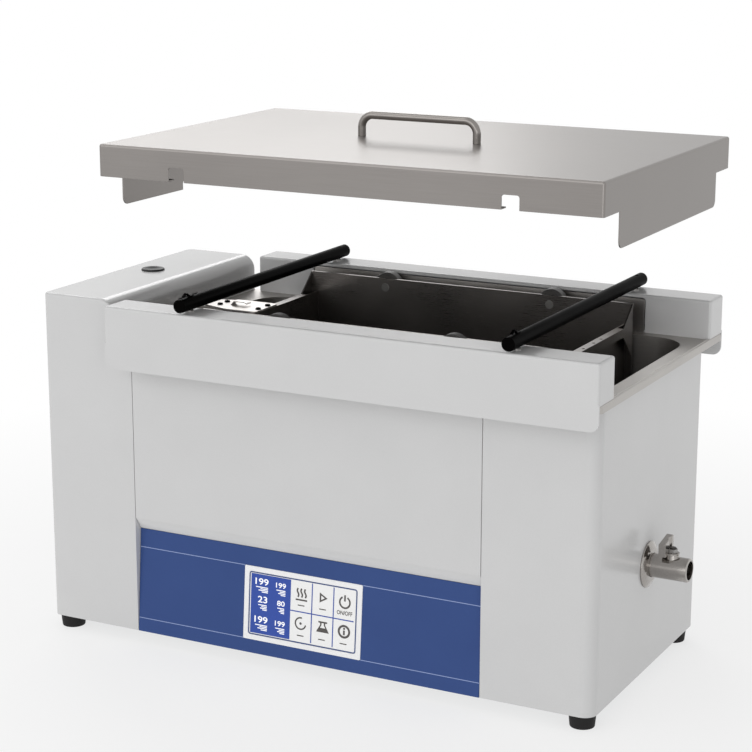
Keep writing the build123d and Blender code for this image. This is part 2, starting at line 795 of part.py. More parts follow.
# Rails: painted box sections along the front and rear, with a skirt that covers the body's top edge
rail_names = {-1: "front_rail", 1: "rear_rail"}
track_names = {-1: "front_roller_track", 1: "rear_roller_track"}
window_margin = 1.5
window_top = rail_height - 4.0
rail_ceiling = rail_height - rail_wall
track_top = window_top - window_margin
rail_foot_width = 14.0
screw_x = [rail_center - bar_half_pitch, rail_center + bar_half_pitch]
bar_screw_radius = 2.5
rail_middle = (rail_inner + rail_outer) / 2
for side in (-1, 1):
    with BuildPart() as rail:
        with BuildSketch(Plane.XY.offset(rim_height)):
            with Locations((rail_center, side * rail_middle)):
                Rectangle(rail_length, rail_outer - rail_inner)
        extrude(amount=rail_height - rim_height)
        fillet(rail.edges().filter_by(Axis.Z), rail_edge_radius)
        fillet(rail.edges().group_by(Axis.Z)[-1], rail_edge_radius)
        with BuildSketch(Plane.XY.offset(rim_height)):
            with Locations((rail_center, side * rail_middle)):
                Rectangle(rail_length - 2 * rail_wall, rail_outer - rail_inner - 2 * rail_wall)
        extrude(amount=rail_ceiling - rim_height, mode=Mode.SUBTRACT)
        with BuildSketch(Plane.XY.offset(rim_height)):
            with Locations((rail_center, side * (rail_inner + rail_wall + rail_foot_width / 2))):
                Rectangle(rail_length - 2 * rail_wall, rail_foot_width)
        extrude(amount=sheet)
        with BuildSketch(Plane.XZ.offset(-side * rail_outer)) as skirt:
            with Locations((rail_center, (skirt_height + rim_height + rail_wall) / 2)):
                Rectangle(rail_length, rim_height + rail_wall - skirt_height)
            fillet(skirt.vertices().group_by(Axis.Y)[0], skirt_corner_radius)
        extrude(amount=side * rail_wall)
        with BuildSketch(Plane.XZ.offset(-side * (rail_inner - 1))) as window:
            with Locations((rail_center, (rim_height + window_top) / 2)):
                Rectangle(track_length + 2 * window_margin, window_top - rim_height)
            fillet(window.vertices().group_by(Axis.Y)[-1], 4)
        extrude(amount=-side * (rail_wall + 2), mode=Mode.SUBTRACT)
        with BuildSketch(Plane.XY.offset(rail_ceiling)):
            with Locations(*[(x, side * rail_middle) for x in screw_x]):
                Circle(bar_screw_radius)
        extrude(amount=2 * rail_wall, mode=Mode.SUBTRACT)
    rail.part.label = rail_names[side]
    export_step(rail.part, f"parts/{rail_names[side]}.step")

# Roller tracks: stainless sections that close the windows in the rails and carry the rollers
track_face = rail_inner + 0.5
track_corner_radius = 3.0
track_ledge = roller_z - roller_radius - running_gap
track_lip_y = tank_width / 2 - track_lip_clearance
for side in (-1, 1):
    with BuildPart() as track:
        with BuildSketch(Plane.XZ.offset(-side * track_face)) as upright:
            with Locations((rail_center, rim_height)):
                Rectangle(track_length, track_top - rim_height, align=(Align.CENTER, Align.MIN))
            fillet(upright.vertices().group_by(Axis.Y)[-1], track_corner_radius)
        extrude(amount=-side * track_sheet)
        with BuildSketch(Plane.YZ.offset(rail_center - ledge_length / 2)):
            with BuildLine():
                Polyline(
                    (side * (track_face + track_sheet), track_ledge),
                    (side * (track_lip_y - track_sheet), track_ledge),
                    (side * (track_lip_y - track_sheet), track_ledge - track_lip_drop),
                    (side * track_lip_y, track_ledge - track_lip_drop),
                    (side * track_lip_y, track_ledge - track_sheet),
                    (side * (track_face + track_sheet), track_ledge - track_sheet),
                    close=True,
                )
            make_face()
        extrude(amount=ledge_length)
    track.part.label = track_names[side]
    export_step(track.part, f"parts/{track_names[side]}.step")

# Cross bars over the tank, screwed down on the rails through spacer washers; they end flush with
# the rails' outer faces
bar_z = rail_height + bar_washer + bar_radius
bar_thread_depth = 7.0
bar_washer_radius = 5.0
bar_nut_height = 4.0
bar_names = ["left_cross_bar", "right_cross_bar"]
for bar_x, bar_name in zip(screw_x, bar_names):
    with BuildPart() as cross_bar:
        with BuildSketch(Plane.XZ.offset(rail_outer)):
            with Locations((bar_x, bar_z)):
                Circle(bar_radius)
        extrude(amount=-2 * rail_outer)
        chamfer(cross_bar.edges().filter_by(GeomType.CIRCLE), 0.6)
        with BuildSketch(Plane.XY.offset(bar_z + bar_radius)):
            with Locations((bar_x, rail_outer - bar_hole_inset)):
                Circle(bar_hole_radius)
        extrude(amount=-bar_radius, mode=Mode.SUBTRACT)
        with BuildSketch(Plane.XY.offset(rail_height + bar_washer)):
            with Locations((bar_x, -rail_middle), (bar_x, rail_middle)):
                Circle(bar_screw_radius)
        extrude(amount=bar_thread_depth, mode=Mode.SUBTRACT)
    cross_bar.part.label = bar_name
    export_step(cross_bar.part, f"parts/{bar_name}.step")

bar_screw_places = [(x, side * rail_middle) for x in screw_x for side in (-1, 1)]
with BuildPart() as bar_screws:
    with BuildSketch(Plane.XY.offset(rail_ceiling)):
        with Locations(*bar_screw_places):
            Circle(bar_screw_radius)
    extrude(amount=rail_wall + bar_washer + bar_thread_depth)
    with BuildSketch(Plane.XY.offset(rail_ceiling)):
        with Locations(*bar_screw_places):
            RegularPolygon(2 * bar_screw_radius, 6)
    extrude(amount=-bar_nut_height)
    with BuildSketch(Plane.XY.offset(rail_height)):
        with Locations(*bar_screw_places):
            Circle(bar_washer_radius)
    extrude(amount=bar_washer)
bar_screws.part.label = "bar_screws"
export_step(bar_screws.part, "parts/bar_screws.step")

# Spring clips on the bars' front ends: a strip that lies on the bar and arches towards its end
clip_strip = 1.2
clip_width = 3.6
clip_foot = 28.0  # from the bar's end to the clip's fixed end
clip_flat = 7.0
clip_run = 6.0  # along the bar, up to the arch and again down from it
clip_rise = 4.2
clip_tip_rise = 1.0
clip_bend = 1.5
clip_start = clip_foot - rail_outer
bar_top = bar_z + bar_radius
with BuildPart() as bar_clips:
    for bar_x in screw_x:
        with BuildSketch(Plane.YZ.offset(bar_x - clip_width / 2)):
            add(folded(
                [
                    (clip_start, bar_top),
                    (clip_start - clip_flat, bar_top),
                    (clip_start - clip_flat - clip_run, bar_top + clip_rise),
                    (clip_start - clip_flat - 2 * clip_run, bar_top + clip_tip_rise),
                ],
                clip_strip,
                Side.RIGHT,
                bend=clip_bend,
            ))
        extrude(amount=clip_width)
bar_clips.part.label = "bar_clips"
export_step(bar_clips.part, "parts/bar_clips.step")

# Basket: a stainless trough with end walls set in, corner gussets and turned-out end flanges
end_wall_x = basket_length / 2 - end_wall_inset
half_basket = basket_width / 2
flange_half = half_basket - gusset_width
flange_lip = 10.0
floor_hole_radius = 5.0
floor_hole_pitch = 30.0
floor_rows = 7
floor_columns = 12
flange_hole_half_pitch = 11.0
spare_hole_shift = 26.0  # two pairs of holes in the right flange
axle_places = [tank_center - roller_half_pitch, tank_center + roller_half_pitch]
with BuildPart() as basket:
    with BuildSketch(Plane.YZ.offset(tank_center - basket_length / 2)):
        add(folded(
            [
                (-half_basket, basket_height),
                (-half_basket, basket_floor),
                (half_basket, basket_floor),
                (half_basket, basket_height),
            ],
            basket_sheet,
            Side.LEFT,
            bend=10,
        ))
        for side in (-1, 1):
            with Locations((side * (half_basket + hem_thickness / 2), basket_height - hem_height / 2)):
                Rectangle(hem_thickness, hem_height)
    extrude(amount=basket_length)
    for end in (-1, 1):
        wall_plane = Plane.YZ.offset(tank_center + end * (end_wall_x - basket_sheet / 2))
        with BuildSketch(wall_plane):
            with Locations((0, (basket_floor + end_wall_height) / 2)):
                Rectangle(basket_width - 2 * basket_sheet, end_wall_height - basket_floor)
        extrude(amount=basket_sheet / 2, both=True)
        with BuildSketch(Plane.XZ.offset(-flange_half)):
            with BuildLine():
                Polyline(
                    (tank_center + end * (end_wall_x - basket_sheet), end_wall_height),
                    (tank_center + end * (basket_length / 2), end_wall_height),
                    (tank_center + end * (basket_length / 2), end_wall_height - flange_lip),
                    (tank_center + end * (basket_length / 2 - basket_sheet), end_wall_height - flange_lip),
                    (tank_center + end * (basket_length / 2 - basket_sheet), end_wall_height - basket_sheet),
                    (tank_center + end * (end_wall_x - basket_sheet), end_wall_height - basket_sheet),
                    close=True,
                )
            make_face()
        extrude(amount=2 * flange_half)
        gusset_plane = Plane.YZ.offset(tank_center + end * (basket_length / 2 - basket_sheet / 2))
        with BuildSketch(gusset_plane):
            for side in (-1, 1):
                with BuildLine():
                    Polyline(
                        (side * half_basket, basket_height),
                        (side * flange_half, end_wall_height),
                        (side * flange_half, end_wall_height - flange_lip),
                        (side * half_basket, end_wall_height - flange_lip - gusset_width),
                        close=True,
                    )
                make_face()
        extrude(amount=basket_sheet / 2, both=True)
        with BuildSketch(Plane.XY.offset(end_wall_height)):
            with Locations((tank_center + end * (basket_length - end_wall_inset) / 2, 0)):
                with GridLocations(0, 2 * spare_hole_shift, 1, 1 if end < 0 else 2):
                    with GridLocations(0, 2 * flange_hole_half_pitch, 1, 2):
                        Circle(screw_radius)
        extrude(amount=-2 * basket_sheet, mode=Mode.SUBTRACT)
    with BuildSketch(Plane.XY.offset(basket_floor)):
        with Locations((tank_center, 0)):
            with GridLocations(floor_hole_pitch, floor_hole_pitch, floor_columns, floor_rows):
                RegularPolygon(floor_hole_radius, 6)
    extrude(amount=2 * basket_sheet, mode=Mode.SUBTRACT)
    with BuildSketch(Plane.XZ.offset(-half_basket)):
        with Locations(*[(x, roller_z) for x in axle_places]):
            Circle(axle_radius)
    extrude(amount=basket_width, mode=Mode.SUBTRACT)
basket.part.label = "basket"
export_step(basket.part, "parts/basket.step")

# Rollers on riveted axles outside the basket's long walls
axle_head_radius = 5.0
axle_head = 1.5
axle_rivet = 0.5  # flat head inside the basket
axle_collar_radius = 5.5
roller_y = half_basket + hem_thickness + 1.0
collar_length = roller_y - half_basket - running_gap
axle_tip = roller_y + roller_width + running_gap
with BuildPart() as roller_axles:
    for side in (-1, 1):
        for x in axle_places:
            for start, end_y, radius in (
                (half_basket - basket_sheet - axle_rivet, half_basket - basket_sheet, axle_head_radius),
                (half_basket - basket_sheet, axle_tip, axle_radius),
                (half_basket, half_basket + collar_length, axle_collar_radius),
                (axle_tip, axle_tip + axle_head, axle_collar_radius),
            ):
                with BuildSketch(Plane.XZ.offset(-side * start)):
                    with Locations((x, roller_z)):
                        Circle(radius)
                extrude(amount=-side * (end_y - start))
roller_axles.part.label = "roller_axles"
export_step(roller_axles.part, "parts/roller_axles.step")

roller_groove = 1.0
for side, side_name in ((-1, "front"), (1, "rear")):
    for x, end_name in zip(axle_places, ("left", "right")):
        with BuildPart() as roller:
            with BuildSketch(Plane.XZ.offset(-side * roller_y)):
                with Locations((x, roller_z)):
                    Circle(roller_radius)
                    Circle(axle_radius + running_gap, mode=Mode.SUBTRACT)
            extrude(amount=-side * roller_width)
            rims = roller.edges().filter_by(GeomType.CIRCLE).filter_by(
                lambda edge: edge.radius > roller_radius - 1
            )
            chamfer(rims, roller_groove)
        roller_name = f"roller_{side_name}_{end_name}"
        roller.part.label = roller_name
        export_step(roller.part, f"parts/{roller_name}.step")

# Drive bracket on the basket's left flange, with a spring catch bent out of it
bracket_sheet = 2.0
bracket_half_width = 26.0
bracket_reach = 68.0  # from the basket's end to the bracket's narrow end
bracket_taper = 34.0
bracket_left = tank_center - basket_length / 2 - bracket_reach
bracket_right = tank_center - end_wall_x + 1.0
bracket_corner_radius = 3.0
bracket_top = end_wall_height + bracket_sheet
flange_hole_x = tank_center - basket_length / 2 + end_wall_inset / 2
arm_hole_inset = 18.0
arm_hole_half_pitch = 8.0
arm_hole_x = bracket_left + arm_hole_inset
catch_x = arm_hole_x + 12.0
catch_half_width = 5.0
catch_sheet = 1.0
catch_rise = 5.0
catch_length = 14.0
catch_tip_run = 4.0
catch_tip_drop = 2.0
bracket_screw_places = [
    (x, side * half_pitch)
    for x, half_pitch in ((flange_hole_x, flange_hole_half_pitch), (arm_hole_x, arm_hole_half_pitch))
    for side in (-1, 1)
]
with BuildPart() as drive_bracket:
    with BuildSketch(Plane.XY.offset(end_wall_height)) as bracket_face:
        with BuildLine():
            Polyline(
                (bracket_left, -arm_width / 2),
                (bracket_left, arm_width / 2),
                (bracket_left + bracket_taper, bracket_half_width),
                (bracket_right, bracket_half_width),
                (bracket_right, -bracket_half_width),
                (bracket_left + bracket_taper, -bracket_half_width),
                close=True,
            )
        make_face()
        fillet(bracket_face.vertices(), bracket_corner_radius)
        with Locations(*bracket_screw_places):
            Circle(screw_radius, mode=Mode.SUBTRACT)
    extrude(amount=bracket_sheet)
    with BuildSketch(Plane.XZ.offset(catch_half_width)):
        add(folded(
            [
                (catch_x, bracket_top),
                (catch_x + catch_rise, bracket_top + catch_rise),
                (catch_x + catch_rise + catch_length, bracket_top + catch_rise),
                (
                    catch_x + catch_rise + catch_length + catch_tip_run,
                    bracket_top + catch_rise - catch_tip_drop,
                ),
            ],
            catch_sheet,
            Side.RIGHT,
        ))
    extrude(amount=-2 * catch_half_width)
drive_bracket.part.label = "drive_bracket"
export_step(drive_bracket.part, "parts/drive_bracket.step")

# Crank drive in the tower: motor, gearbox, crank disc and a crosswise slotted yoke
quarter = pi / 2
worst = sqrt(1 - (1 / quarter) ** 2)
slip = stroke * (worst - asin(worst) / quarter)  # the pin leaves an even pace by this much
slot_width = 2 * (crank_roller_radius + slip + running_gap)
slot_end_room = 1.0
slot_half_length = stroke + crank_roller_radius + slot_end_room
yoke_tongue = 16.0  # carries the arm
guide_offset = 12.0
yoke_margin = 9.0
yoke_corner_radius = 4.0
arm_overlap = 28.0  # of the arm under the bracket
arm_corner_radius = 3.0
yoke_bottom = arm_bottom - yoke_thickness
yoke_left = crank_x - slot_width / 2 - yoke_bar
yoke_right = crank_x + slot_width / 2 + yoke_bar + yoke_tongue
yoke_front = -(slot_half_length + yoke_bar)
guide_y = slot_half_length + yoke_bar + guide_offset
yoke_rear = guide_y + yoke_margin
yoke_screw_x = yoke_right - yoke_tongue / 2
arm_left = yoke_right - yoke_tongue
arm_right = bracket_left + arm_overlap
yoke_screw_places = [(yoke_screw_x, -arm_hole_half_pitch), (yoke_screw_x, arm_hole_half_pitch)]
with BuildPart() as yoke_plate:
    with BuildSketch(Plane.XY.offset(yoke_bottom)):
        with Locations(((yoke_left + yoke_right) / 2, (yoke_front + yoke_rear) / 2)):
            RectangleRounded(yoke_right - yoke_left, yoke_rear - yoke_front, yoke_corner_radius)
        with Locations((crank_x, 0)):
            SlotOverall(2 * slot_half_length + slot_width, slot_width, rotation=90, mode=Mode.SUBTRACT)
        with Locations(*yoke_screw_places):
            Circle(screw_radius, mode=Mode.SUBTRACT)
    extrude(amount=yoke_thickness)
yoke_plate.part.label = "yoke_plate"
export_step(yoke_plate.part, "parts/yoke_plate.step")

with BuildPart() as drive_arm:
    with BuildSketch(Plane.XY.offset(arm_bottom)):
        with Locations(((arm_left + arm_right) / 2, 0)):
            RectangleRounded(arm_right - arm_left, arm_width, arm_corner_radius)
        with Locations(*yoke_screw_places, *bracket_screw_places[2:]):
            Circle(screw_radius, mode=Mode.SUBTRACT)
    extrude(amount=arm_thickness)
drive_arm.part.label = "drive_arm"
export_step(drive_arm.part, "parts/drive_arm.step")

button_radius = 3.6
button_height = 1.8
socket_radius = 1.6
socket_depth = 1.2
nut_grip = 2.0
with BuildPart() as drive_screws:
    for places, head_level, grip in (
        (bracket_screw_places[:2], bracket_top, bracket_sheet + basket_sheet + nut_grip),
        (bracket_screw_places[2:], bracket_top, bracket_sheet + arm_thickness),
        (yoke_screw_places, arm_bottom + arm_thickness, arm_thickness + yoke_thickness),
    ):
        with BuildSketch(Plane.XY.offset(head_level)):
            with Locations(*places):
                Circle(button_radius)
        extrude(amount=button_height, taper=25)
        with BuildSketch(Plane.XY.offset(head_level + button_height)):
            with Locations(*places):
                RegularPolygon(socket_radius, 6)
        extrude(amount=-socket_depth, mode=Mode.SUBTRACT)
        with BuildSketch(Plane.XY.offset(head_level)):
            with Locations(*places):
                Circle(screw_radius)
        extrude(amount=-grip)
drive_screws.part.label = "drive_screws"
export_step(drive_screws.part, "parts/drive_screws.step")

disc_to_yoke = 1.0
disc_to_frame = 4.0
frame_sheet = 3.0
frame_flange = 60.0  # bolted to the tower's left wall
shaft_hole_margin = 3.0
crank_top = yoke_bottom - disc_to_yoke
crank_bottom = crank_top - crank_disc_thickness
frame_top = crank_bottom - disc_to_frame
frame_bottom = frame_top - frame_sheet
shaft_radius = 5.0
shaft_depth = 20.0  # how far the crank shaft enters the gearbox
pin_top = arm_bottom - running_gap
with BuildPart() as crank_disc:
    with BuildSketch(Plane.XY.offset(crank_bottom)):
        with Locations((crank_x, 0)):
            Circle(crank_disc_radius)
    extrude(amount=crank_disc_thickness)
    with BuildSketch(Plane.XY.offset(crank_bottom)):
        with Locations((crank_x, 0)):
            Circle(shaft_radius)
    extrude(amount=frame_bottom - shaft_depth - crank_bottom)
    with BuildSketch(Plane.XY.offset(crank_top)):
        with Locations((crank_x, -stroke)):
            Circle(crank_pin_radius)
    extrude(amount=pin_top - crank_top)
crank_disc.part.label = "crank_disc"
export_step(crank_disc.part, "parts/crank_disc.step")

with BuildPart() as crank_roller:
    with BuildSketch(Plane.XY.offset(crank_top + running_gap)):
        with Locations((crank_x, -stroke)):
            Circle(crank_roller_radius)
            Circle(crank_pin_radius + running_gap, mode=Mode.SUBTRACT)
    extrude(amount=pin_top - crank_top - running_gap)
crank_roller.part.label = "crank_roller"
export_step(crank_roller.part, "parts/crank_roller.step")

frame_left = body_left + sheet
frame_right = tower_right - sheet
frame_half = 62.0
guide_height = 7.0
guide_width = 9.0
guide_end_margin = 6.0
block_length = 32.0
block_width = 18.0
block_lift = 1.5
with BuildPart() as drive_frame:
    with BuildSketch(Plane.XZ.offset(frame_half)):
        add(folded(
            [
                (frame_left, frame_bottom - frame_flange),
                (frame_left, frame_top),
                (frame_right, frame_top),
            ],
            frame_sheet,
            Side.RIGHT,
        ))
    extrude(amount=-2 * frame_half)
    with BuildSketch(Plane.XY.offset(frame_bottom)):
        with Locations((crank_x, 0)):
            Circle(shaft_radius + shaft_hole_margin)
    extrude(amount=frame_sheet, mode=Mode.SUBTRACT)
drive_frame.part.label = "drive_frame"
export_step(drive_frame.part, "parts/drive_frame.step")

with BuildPart() as guide_rail:
    with BuildSketch(Plane.XY.offset(frame_top)):
        with Locations((crank_x, guide_y)):
            Rectangle(tower_width - 2 * guide_end_margin, guide_width)
    extrude(amount=guide_height)
guide_rail.part.label = "guide_rail"
export_step(guide_rail.part, "parts/guide_rail.step")

block_bottom = frame_top + block_lift
with BuildPart() as guide_block:
    with BuildSketch(Plane.YZ.offset(crank_x - block_length / 2)):
        with Locations((guide_y, (block_bottom + yoke_bottom) / 2)):
            Rectangle(block_width, yoke_bottom - block_bottom)
        with Locations((guide_y, frame_top + (guide_height + running_gap) / 2)):
            Rectangle(guide_width + 2 * running_gap, guide_height + running_gap, mode=Mode.SUBTRACT)
    extrude(amount=block_length)
guide_block.part.label = "guide_block"
export_step(guide_block.part, "parts/guide_block.step")

gearbox_size = 60.0
gearbox_height = 38.0
motor_radius = 26.0
motor_length = 95.0
motor_cap = 5.0
with BuildPart() as gearbox:
    with BuildSketch(Plane.XY.offset(frame_bottom)):
        with Locations((crank_x, 0)):
            RectangleRounded(gearbox_size, gearbox_size, 6)
            Circle(shaft_radius + running_gap, mode=Mode.SUBTRACT)
    extrude(amount=-gearbox_height)
gearbox.part.label = "gearbox"
export_step(gearbox.part, "parts/gearbox.step")

with BuildPart() as drive_motor:
    with BuildSketch(Plane.XY.offset(frame_bottom - gearbox_height)):
        with Locations((crank_x, 0)):
            Circle(motor_radius)
    extrude(amount=-motor_length)
    chamfer(drive_motor.edges().group_by(Axis.Z)[0], 3)
    with BuildSketch(Plane.XY.offset(frame_bottom - gearbox_height - motor_length)):
        with Locations((crank_x, 0)):
            Circle(motor_radius / 3)
    extrude(amount=-motor_cap)
drive_motor.part.label = "drive_motor"
export_step(drive_motor.part, "parts/drive_motor.step")

# Ultrasonic transducers bonded under the tank floor: cone, ceramic rings and back mass
transducer_pitch_x = 120.0
transducer_pitch_y = 120.0
cone_top_radius = 29.0
cone_neck_radius = 19.0
cone_height = 22.0
ceramic_height = 12.0
ceramic_radius = 19.0
back_mass_height = 24.0
bolt_head_radius = 8.0
bolt_head_height = 6.0
transducer_places = [
    (tank_center - transducer_pitch_x / 2 + transducer_pitch_x * i, transducer_pitch_y * (j - 0.5))
    for i in (-1, 0, 1)
    for j in (0, 1)
]
with BuildPart() as transducer_cones:
    with BuildSketch(Plane.XY.offset(tank_underside)):
        with Locations(*transducer_places):
            Circle(cone_top_radius)
    extrude(amount=-cone_height, taper=degrees(atan2(cone_top_radius - cone_neck_radius, cone_height)))
transducer_cones.part.label = "transducer_cones"
export_step(transducer_cones.part, "parts/transducer_cones.step")

with BuildPart() as transducer_ceramics:
    with BuildSketch(Plane.XY.offset(tank_underside - cone_height)):
        with Locations(*transducer_places):
            Circle(ceramic_radius)
    extrude(amount=-ceramic_height)
transducer_ceramics.part.label = "transducer_ceramics"
export_step(transducer_ceramics.part, "parts/transducer_ceramics.step")

with BuildPart() as transducer_back_masses:
    with BuildSketch(Plane.XY.offset(tank_underside - cone_height - ceramic_height)):
        with Locations(*transducer_places):
            Circle(ceramic_radius)
    extrude(amount=-back_mass_height)
    with BuildSketch(
        Plane.XY.offset(tank_underside - cone_height - ceramic_height - back_mass_height)
    ):
        with Locations(*transducer_places):
            RegularPolygon(bolt_head_radius, 6)
    extrude(amount=-bolt_head_height)
transducer_back_masses.part.label = "transducer_back_masses"
export_step(transducer_back_masses.part, "parts/transducer_back_masses.step")

# Heating mats on the tank's long walls
mat_thickness = 2.0
mat_length = 380.0
mat_height = 80.0
mat_rise = 6.0  # above the rounding of the tank's floor
with BuildPart() as heating_mats:
    for side in (-1, 1):
        with BuildSketch(Plane.XZ.offset(-side * (tank_width / 2 + tank_wall))):
            with Locations((tank_center, tank_floor_z + tank_floor_radius + mat_height / 2 + mat_rise)):
                RectangleRounded(mat_length, mat_height, 6)
        extrude(amount=-side * mat_thickness)
heating_mats.part.label = "heating_mats"
export_step(heating_mats.part, "parts/heating_mats.step")

# Generator board with its heat sink and transformer, on pillars over the base plate
generator_x = panel_center - 60.0
generator_length = 200.0
generator_width = 150.0
generator_pillar_inset = 10.0
generator_lift = 10.0
fin_count = 7
fin_pitch = 8.0
fin_length = 70.0
fin_thickness = 2.5
fin_height = 38.0
sink_web = 4.0
sink_place = (-60.0, 30.0)
winding_length = 46.0
winding_width = 40.0
winding_place = (40.0, 30.0)
capacitor_radius = 9.0
capacitor_places = ((30.0, -35.0), (55.0, -35.0))
terminal_length = 60.0
terminal_width = 14.0
terminal_place = (-40.0, -45.0)
component_rise = 30.0
generator_board_z = deck_z + generator_lift
with BuildPart() as generator_board:
    with BuildSketch(Plane.XY.offset(deck_z)):
        with Locations((generator_x, 0)):
            with GridLocations(
                generator_length - 2 * generator_pillar_inset,
                generator_width - 2 * generator_pillar_inset,
                2,
                2,
            ):
                Circle(pillar_radius)
    extrude(amount=generator_lift)
    with BuildSketch(Plane.XY.offset(generator_board_z)):
        with Locations((generator_x, 0)):
            Rectangle(generator_length, generator_width)
    extrude(amount=board_thickness)
    with BuildSketch(Plane.XY.offset(generator_board_z + board_thickness)):
        with Locations((generator_x, 0)):
            with Locations(sink_place):
                with GridLocations(0, fin_pitch, 1, fin_count):
                    Rectangle(fin_length, fin_thickness)
                Rectangle(sink_web, fin_pitch * (fin_count - 1))
    extrude(amount=fin_height)
    with BuildSketch(Plane.XY.offset(generator_board_z + board_thickness)):
        with Locations((generator_x, 0)):
            with Locations(winding_place):
                RectangleRounded(winding_length, winding_width, 4)
            with Locations(*capacitor_places):
                Circle(capacitor_radius)
            with Locations(terminal_place):
                Rectangle(terminal_length, terminal_width)
    extrude(amount=component_rise)
generator_board.part.label = "generator_board"
export_step(generator_board.part, "parts/generator_board.step")

# Drain: a strainer fitting in the tank floor, a bent pipe and the ball valve through the right side
pipe_wall = 1.5
pipe_radius = valve_bore_radius + pipe_wall
elbow_radius = 26.0
fitting_rim = 17.0
strainer_bar = 2.5
strainer_thickness = 1.6
union_height = 9.0  # threaded sleeve under the tank floor
valve_inner_end = body_right - 16.0
with BuildPart() as drain_fitting:
    with BuildSketch(Plane.XY.offset(tank_floor_z)):
        with Locations((tank_drain_x, 0)):
            Circle(fitting_rim)
            Circle(drain_hole_radius - pipe_wall, mode=Mode.SUBTRACT)
            Rectangle(2 * drain_hole_radius, strainer_bar)
            Rectangle(strainer_bar, 2 * drain_hole_radius)
    extrude(amount=strainer_thickness)
    with BuildSketch(Plane.XY.offset(tank_floor_z)):
        with Locations((tank_drain_x, 0)):
            Circle(drain_hole_radius)
            Circle(drain_hole_radius - pipe_wall, mode=Mode.SUBTRACT)
    extrude(amount=-(tank_wall + union_height - 1))
drain_fitting.part.label = "drain_fitting"
export_step(drain_fitting.part, "parts/drain_fitting.step")

pipe_top = tank_underside
with BuildPart() as drain_pipe:
    with BuildLine() as pipe_path:
        Line((tank_drain_x, 0, pipe_top), (tank_drain_x, 0, valve_height + elbow_radius))
        TangentArc(
            (tank_drain_x, 0, valve_height + elbow_radius),
            (tank_drain_x + elbow_radius, 0, valve_height),
            tangent=(0, 0, -1),
        )
        Line((tank_drain_x + elbow_radius, 0, valve_height), (valve_inner_end, 0, valve_height))
    with BuildSketch(Plane.XY.offset(pipe_top)):
        with Locations((tank_drain_x, 0)):
            Circle(pipe_radius)
            Circle(valve_bore_radius, mode=Mode.SUBTRACT)
    sweep(path=pipe_path.wires()[0])
    with BuildSketch(Plane.XY.offset(pipe_top)):
        with Locations((tank_drain_x, 0)):
            Circle(drain_hole_radius)
    extrude(amount=-union_height, mode=Mode.SUBTRACT)
    with BuildSketch(Plane.XY.offset(pipe_top)):
        with Locations((tank_drain_x, 0)):
            Circle(fitting_rim)
            Circle(drain_hole_radius, mode=Mode.SUBTRACT)
    extrude(amount=-union_height)
drain_pipe.part.label = "drain_pipe"
export_step(drain_pipe.part, "parts/drain_pipe.step")

boss_top = valve_height + valve_outer_radius + 2.4
boss_radius = 9.0
boss_taper = 8.0  # degrees
ball_seat_gap = 0.3
collar_radius = 20.0  # hexagon that clamps the valve behind the side wall
collar_thickness = 7.0
valve_axis_plane = Plane.YZ.offset(valve_inner_end)
with BuildPart() as valve_body:
    with BuildSketch(valve_axis_plane):
        with Locations((0, valve_height)):
            Circle(valve_outer_radius)
    extrude(amount=valve_x - valve_inner_end)
    with BuildSketch(Plane.XY.offset(valve_height)):
        with Locations((stem_x, 0)):
            Circle(boss_radius)
    extrude(amount=boss_top - valve_height, taper=boss_taper)
    with BuildSketch(Plane.YZ.offset(body_right - sheet)):
        with Locations((0, valve_height)):
            RegularPolygon(collar_radius, 6)
    extrude(amount=-collar_thickness)
    with BuildSketch(valve_axis_plane):
        with Locations((0, valve_height)):
            Circle(valve_seat_radius)
    extrude(amount=valve_x - valve_inner_end, mode=Mode.SUBTRACT)
    with BuildSketch(Plane.YZ.offset(valve_x)):
        with Locations((0, valve_height)):
            Circle(valve_bore_radius)
    extrude(amount=-outlet_depth, mode=Mode.SUBTRACT)
    with Locations((stem_x, 0, valve_height)):
        Sphere(valve_ball_radius + ball_seat_gap, mode=Mode.SUBTRACT)
    with BuildSketch(Plane.XY.offset(valve_height)):
        with Locations((stem_x, 0)):
            Circle(valve_stem_radius + running_gap)
    extrude(amount=2 * valve_outer_radius, mode=Mode.SUBTRACT)
    outlet = valve_body.edges().filter_by(GeomType.CIRCLE).group_by(Axis.X)[-1]
    chamfer(outlet.sort_by(SortBy.RADIUS)[-1], 0.8)
valve_body.part.label = "valve_body"
export_step(valve_body.part, "parts/valve_body.step")

with BuildPart() as valve_rosette:
    with BuildSketch(Plane.XY):
        with BuildLine():
            Polyline(
                (body_right, valve_outer_radius + running_gap),
                (body_right, rosette_radius),
                (body_right + 1.6, rosette_radius),
                (body_right + 3.4, rosette_radius - 3),
                (body_right + 5.6, valve_outer_radius + 4),
                (body_right + 5.6, valve_outer_radius + running_gap),
                close=True,
            )
        make_face()
    revolve(axis=Axis.X)
valve_rosette.part = valve_rosette.part.moved(Location((0, 0, valve_height)))
valve_rosette.part.label = "valve_rosette"
export_step(valve_rosette.part, "parts/valve_rosette.step")

ball_port_radius = 7.0
lever_bottom = boss_top + running_gap
lever_sheet = 2.0
lever_nut_height = 4.5
lever_nut_radius = 5.6
lever_hub_radius = 7.5
stem_foot = valve_height + valve_ball_radius - 3.0
stem_top = lever_bottom + lever_sheet + lever_nut_height + 1.5
with BuildPart() as valve_plug:
    with Locations((stem_x, 0, valve_height)):
        Sphere(valve_ball_radius)
        Cylinder(ball_port_radius, 4 * valve_ball_radius, rotation=(90, 0, 0), mode=Mode.SUBTRACT)
    with BuildSketch(Plane.XY.offset(stem_foot)):
        with Locations((stem_x, 0)):
            Circle(valve_stem_radius)
    extrude(amount=stem_top - stem_foot)
    chamfer(valve_plug.edges().group_by(Axis.Z)[-1], 0.6)
valve_plug.part.label = "valve_plug"
export_step(valve_plug.part, "parts/valve_plug.step")

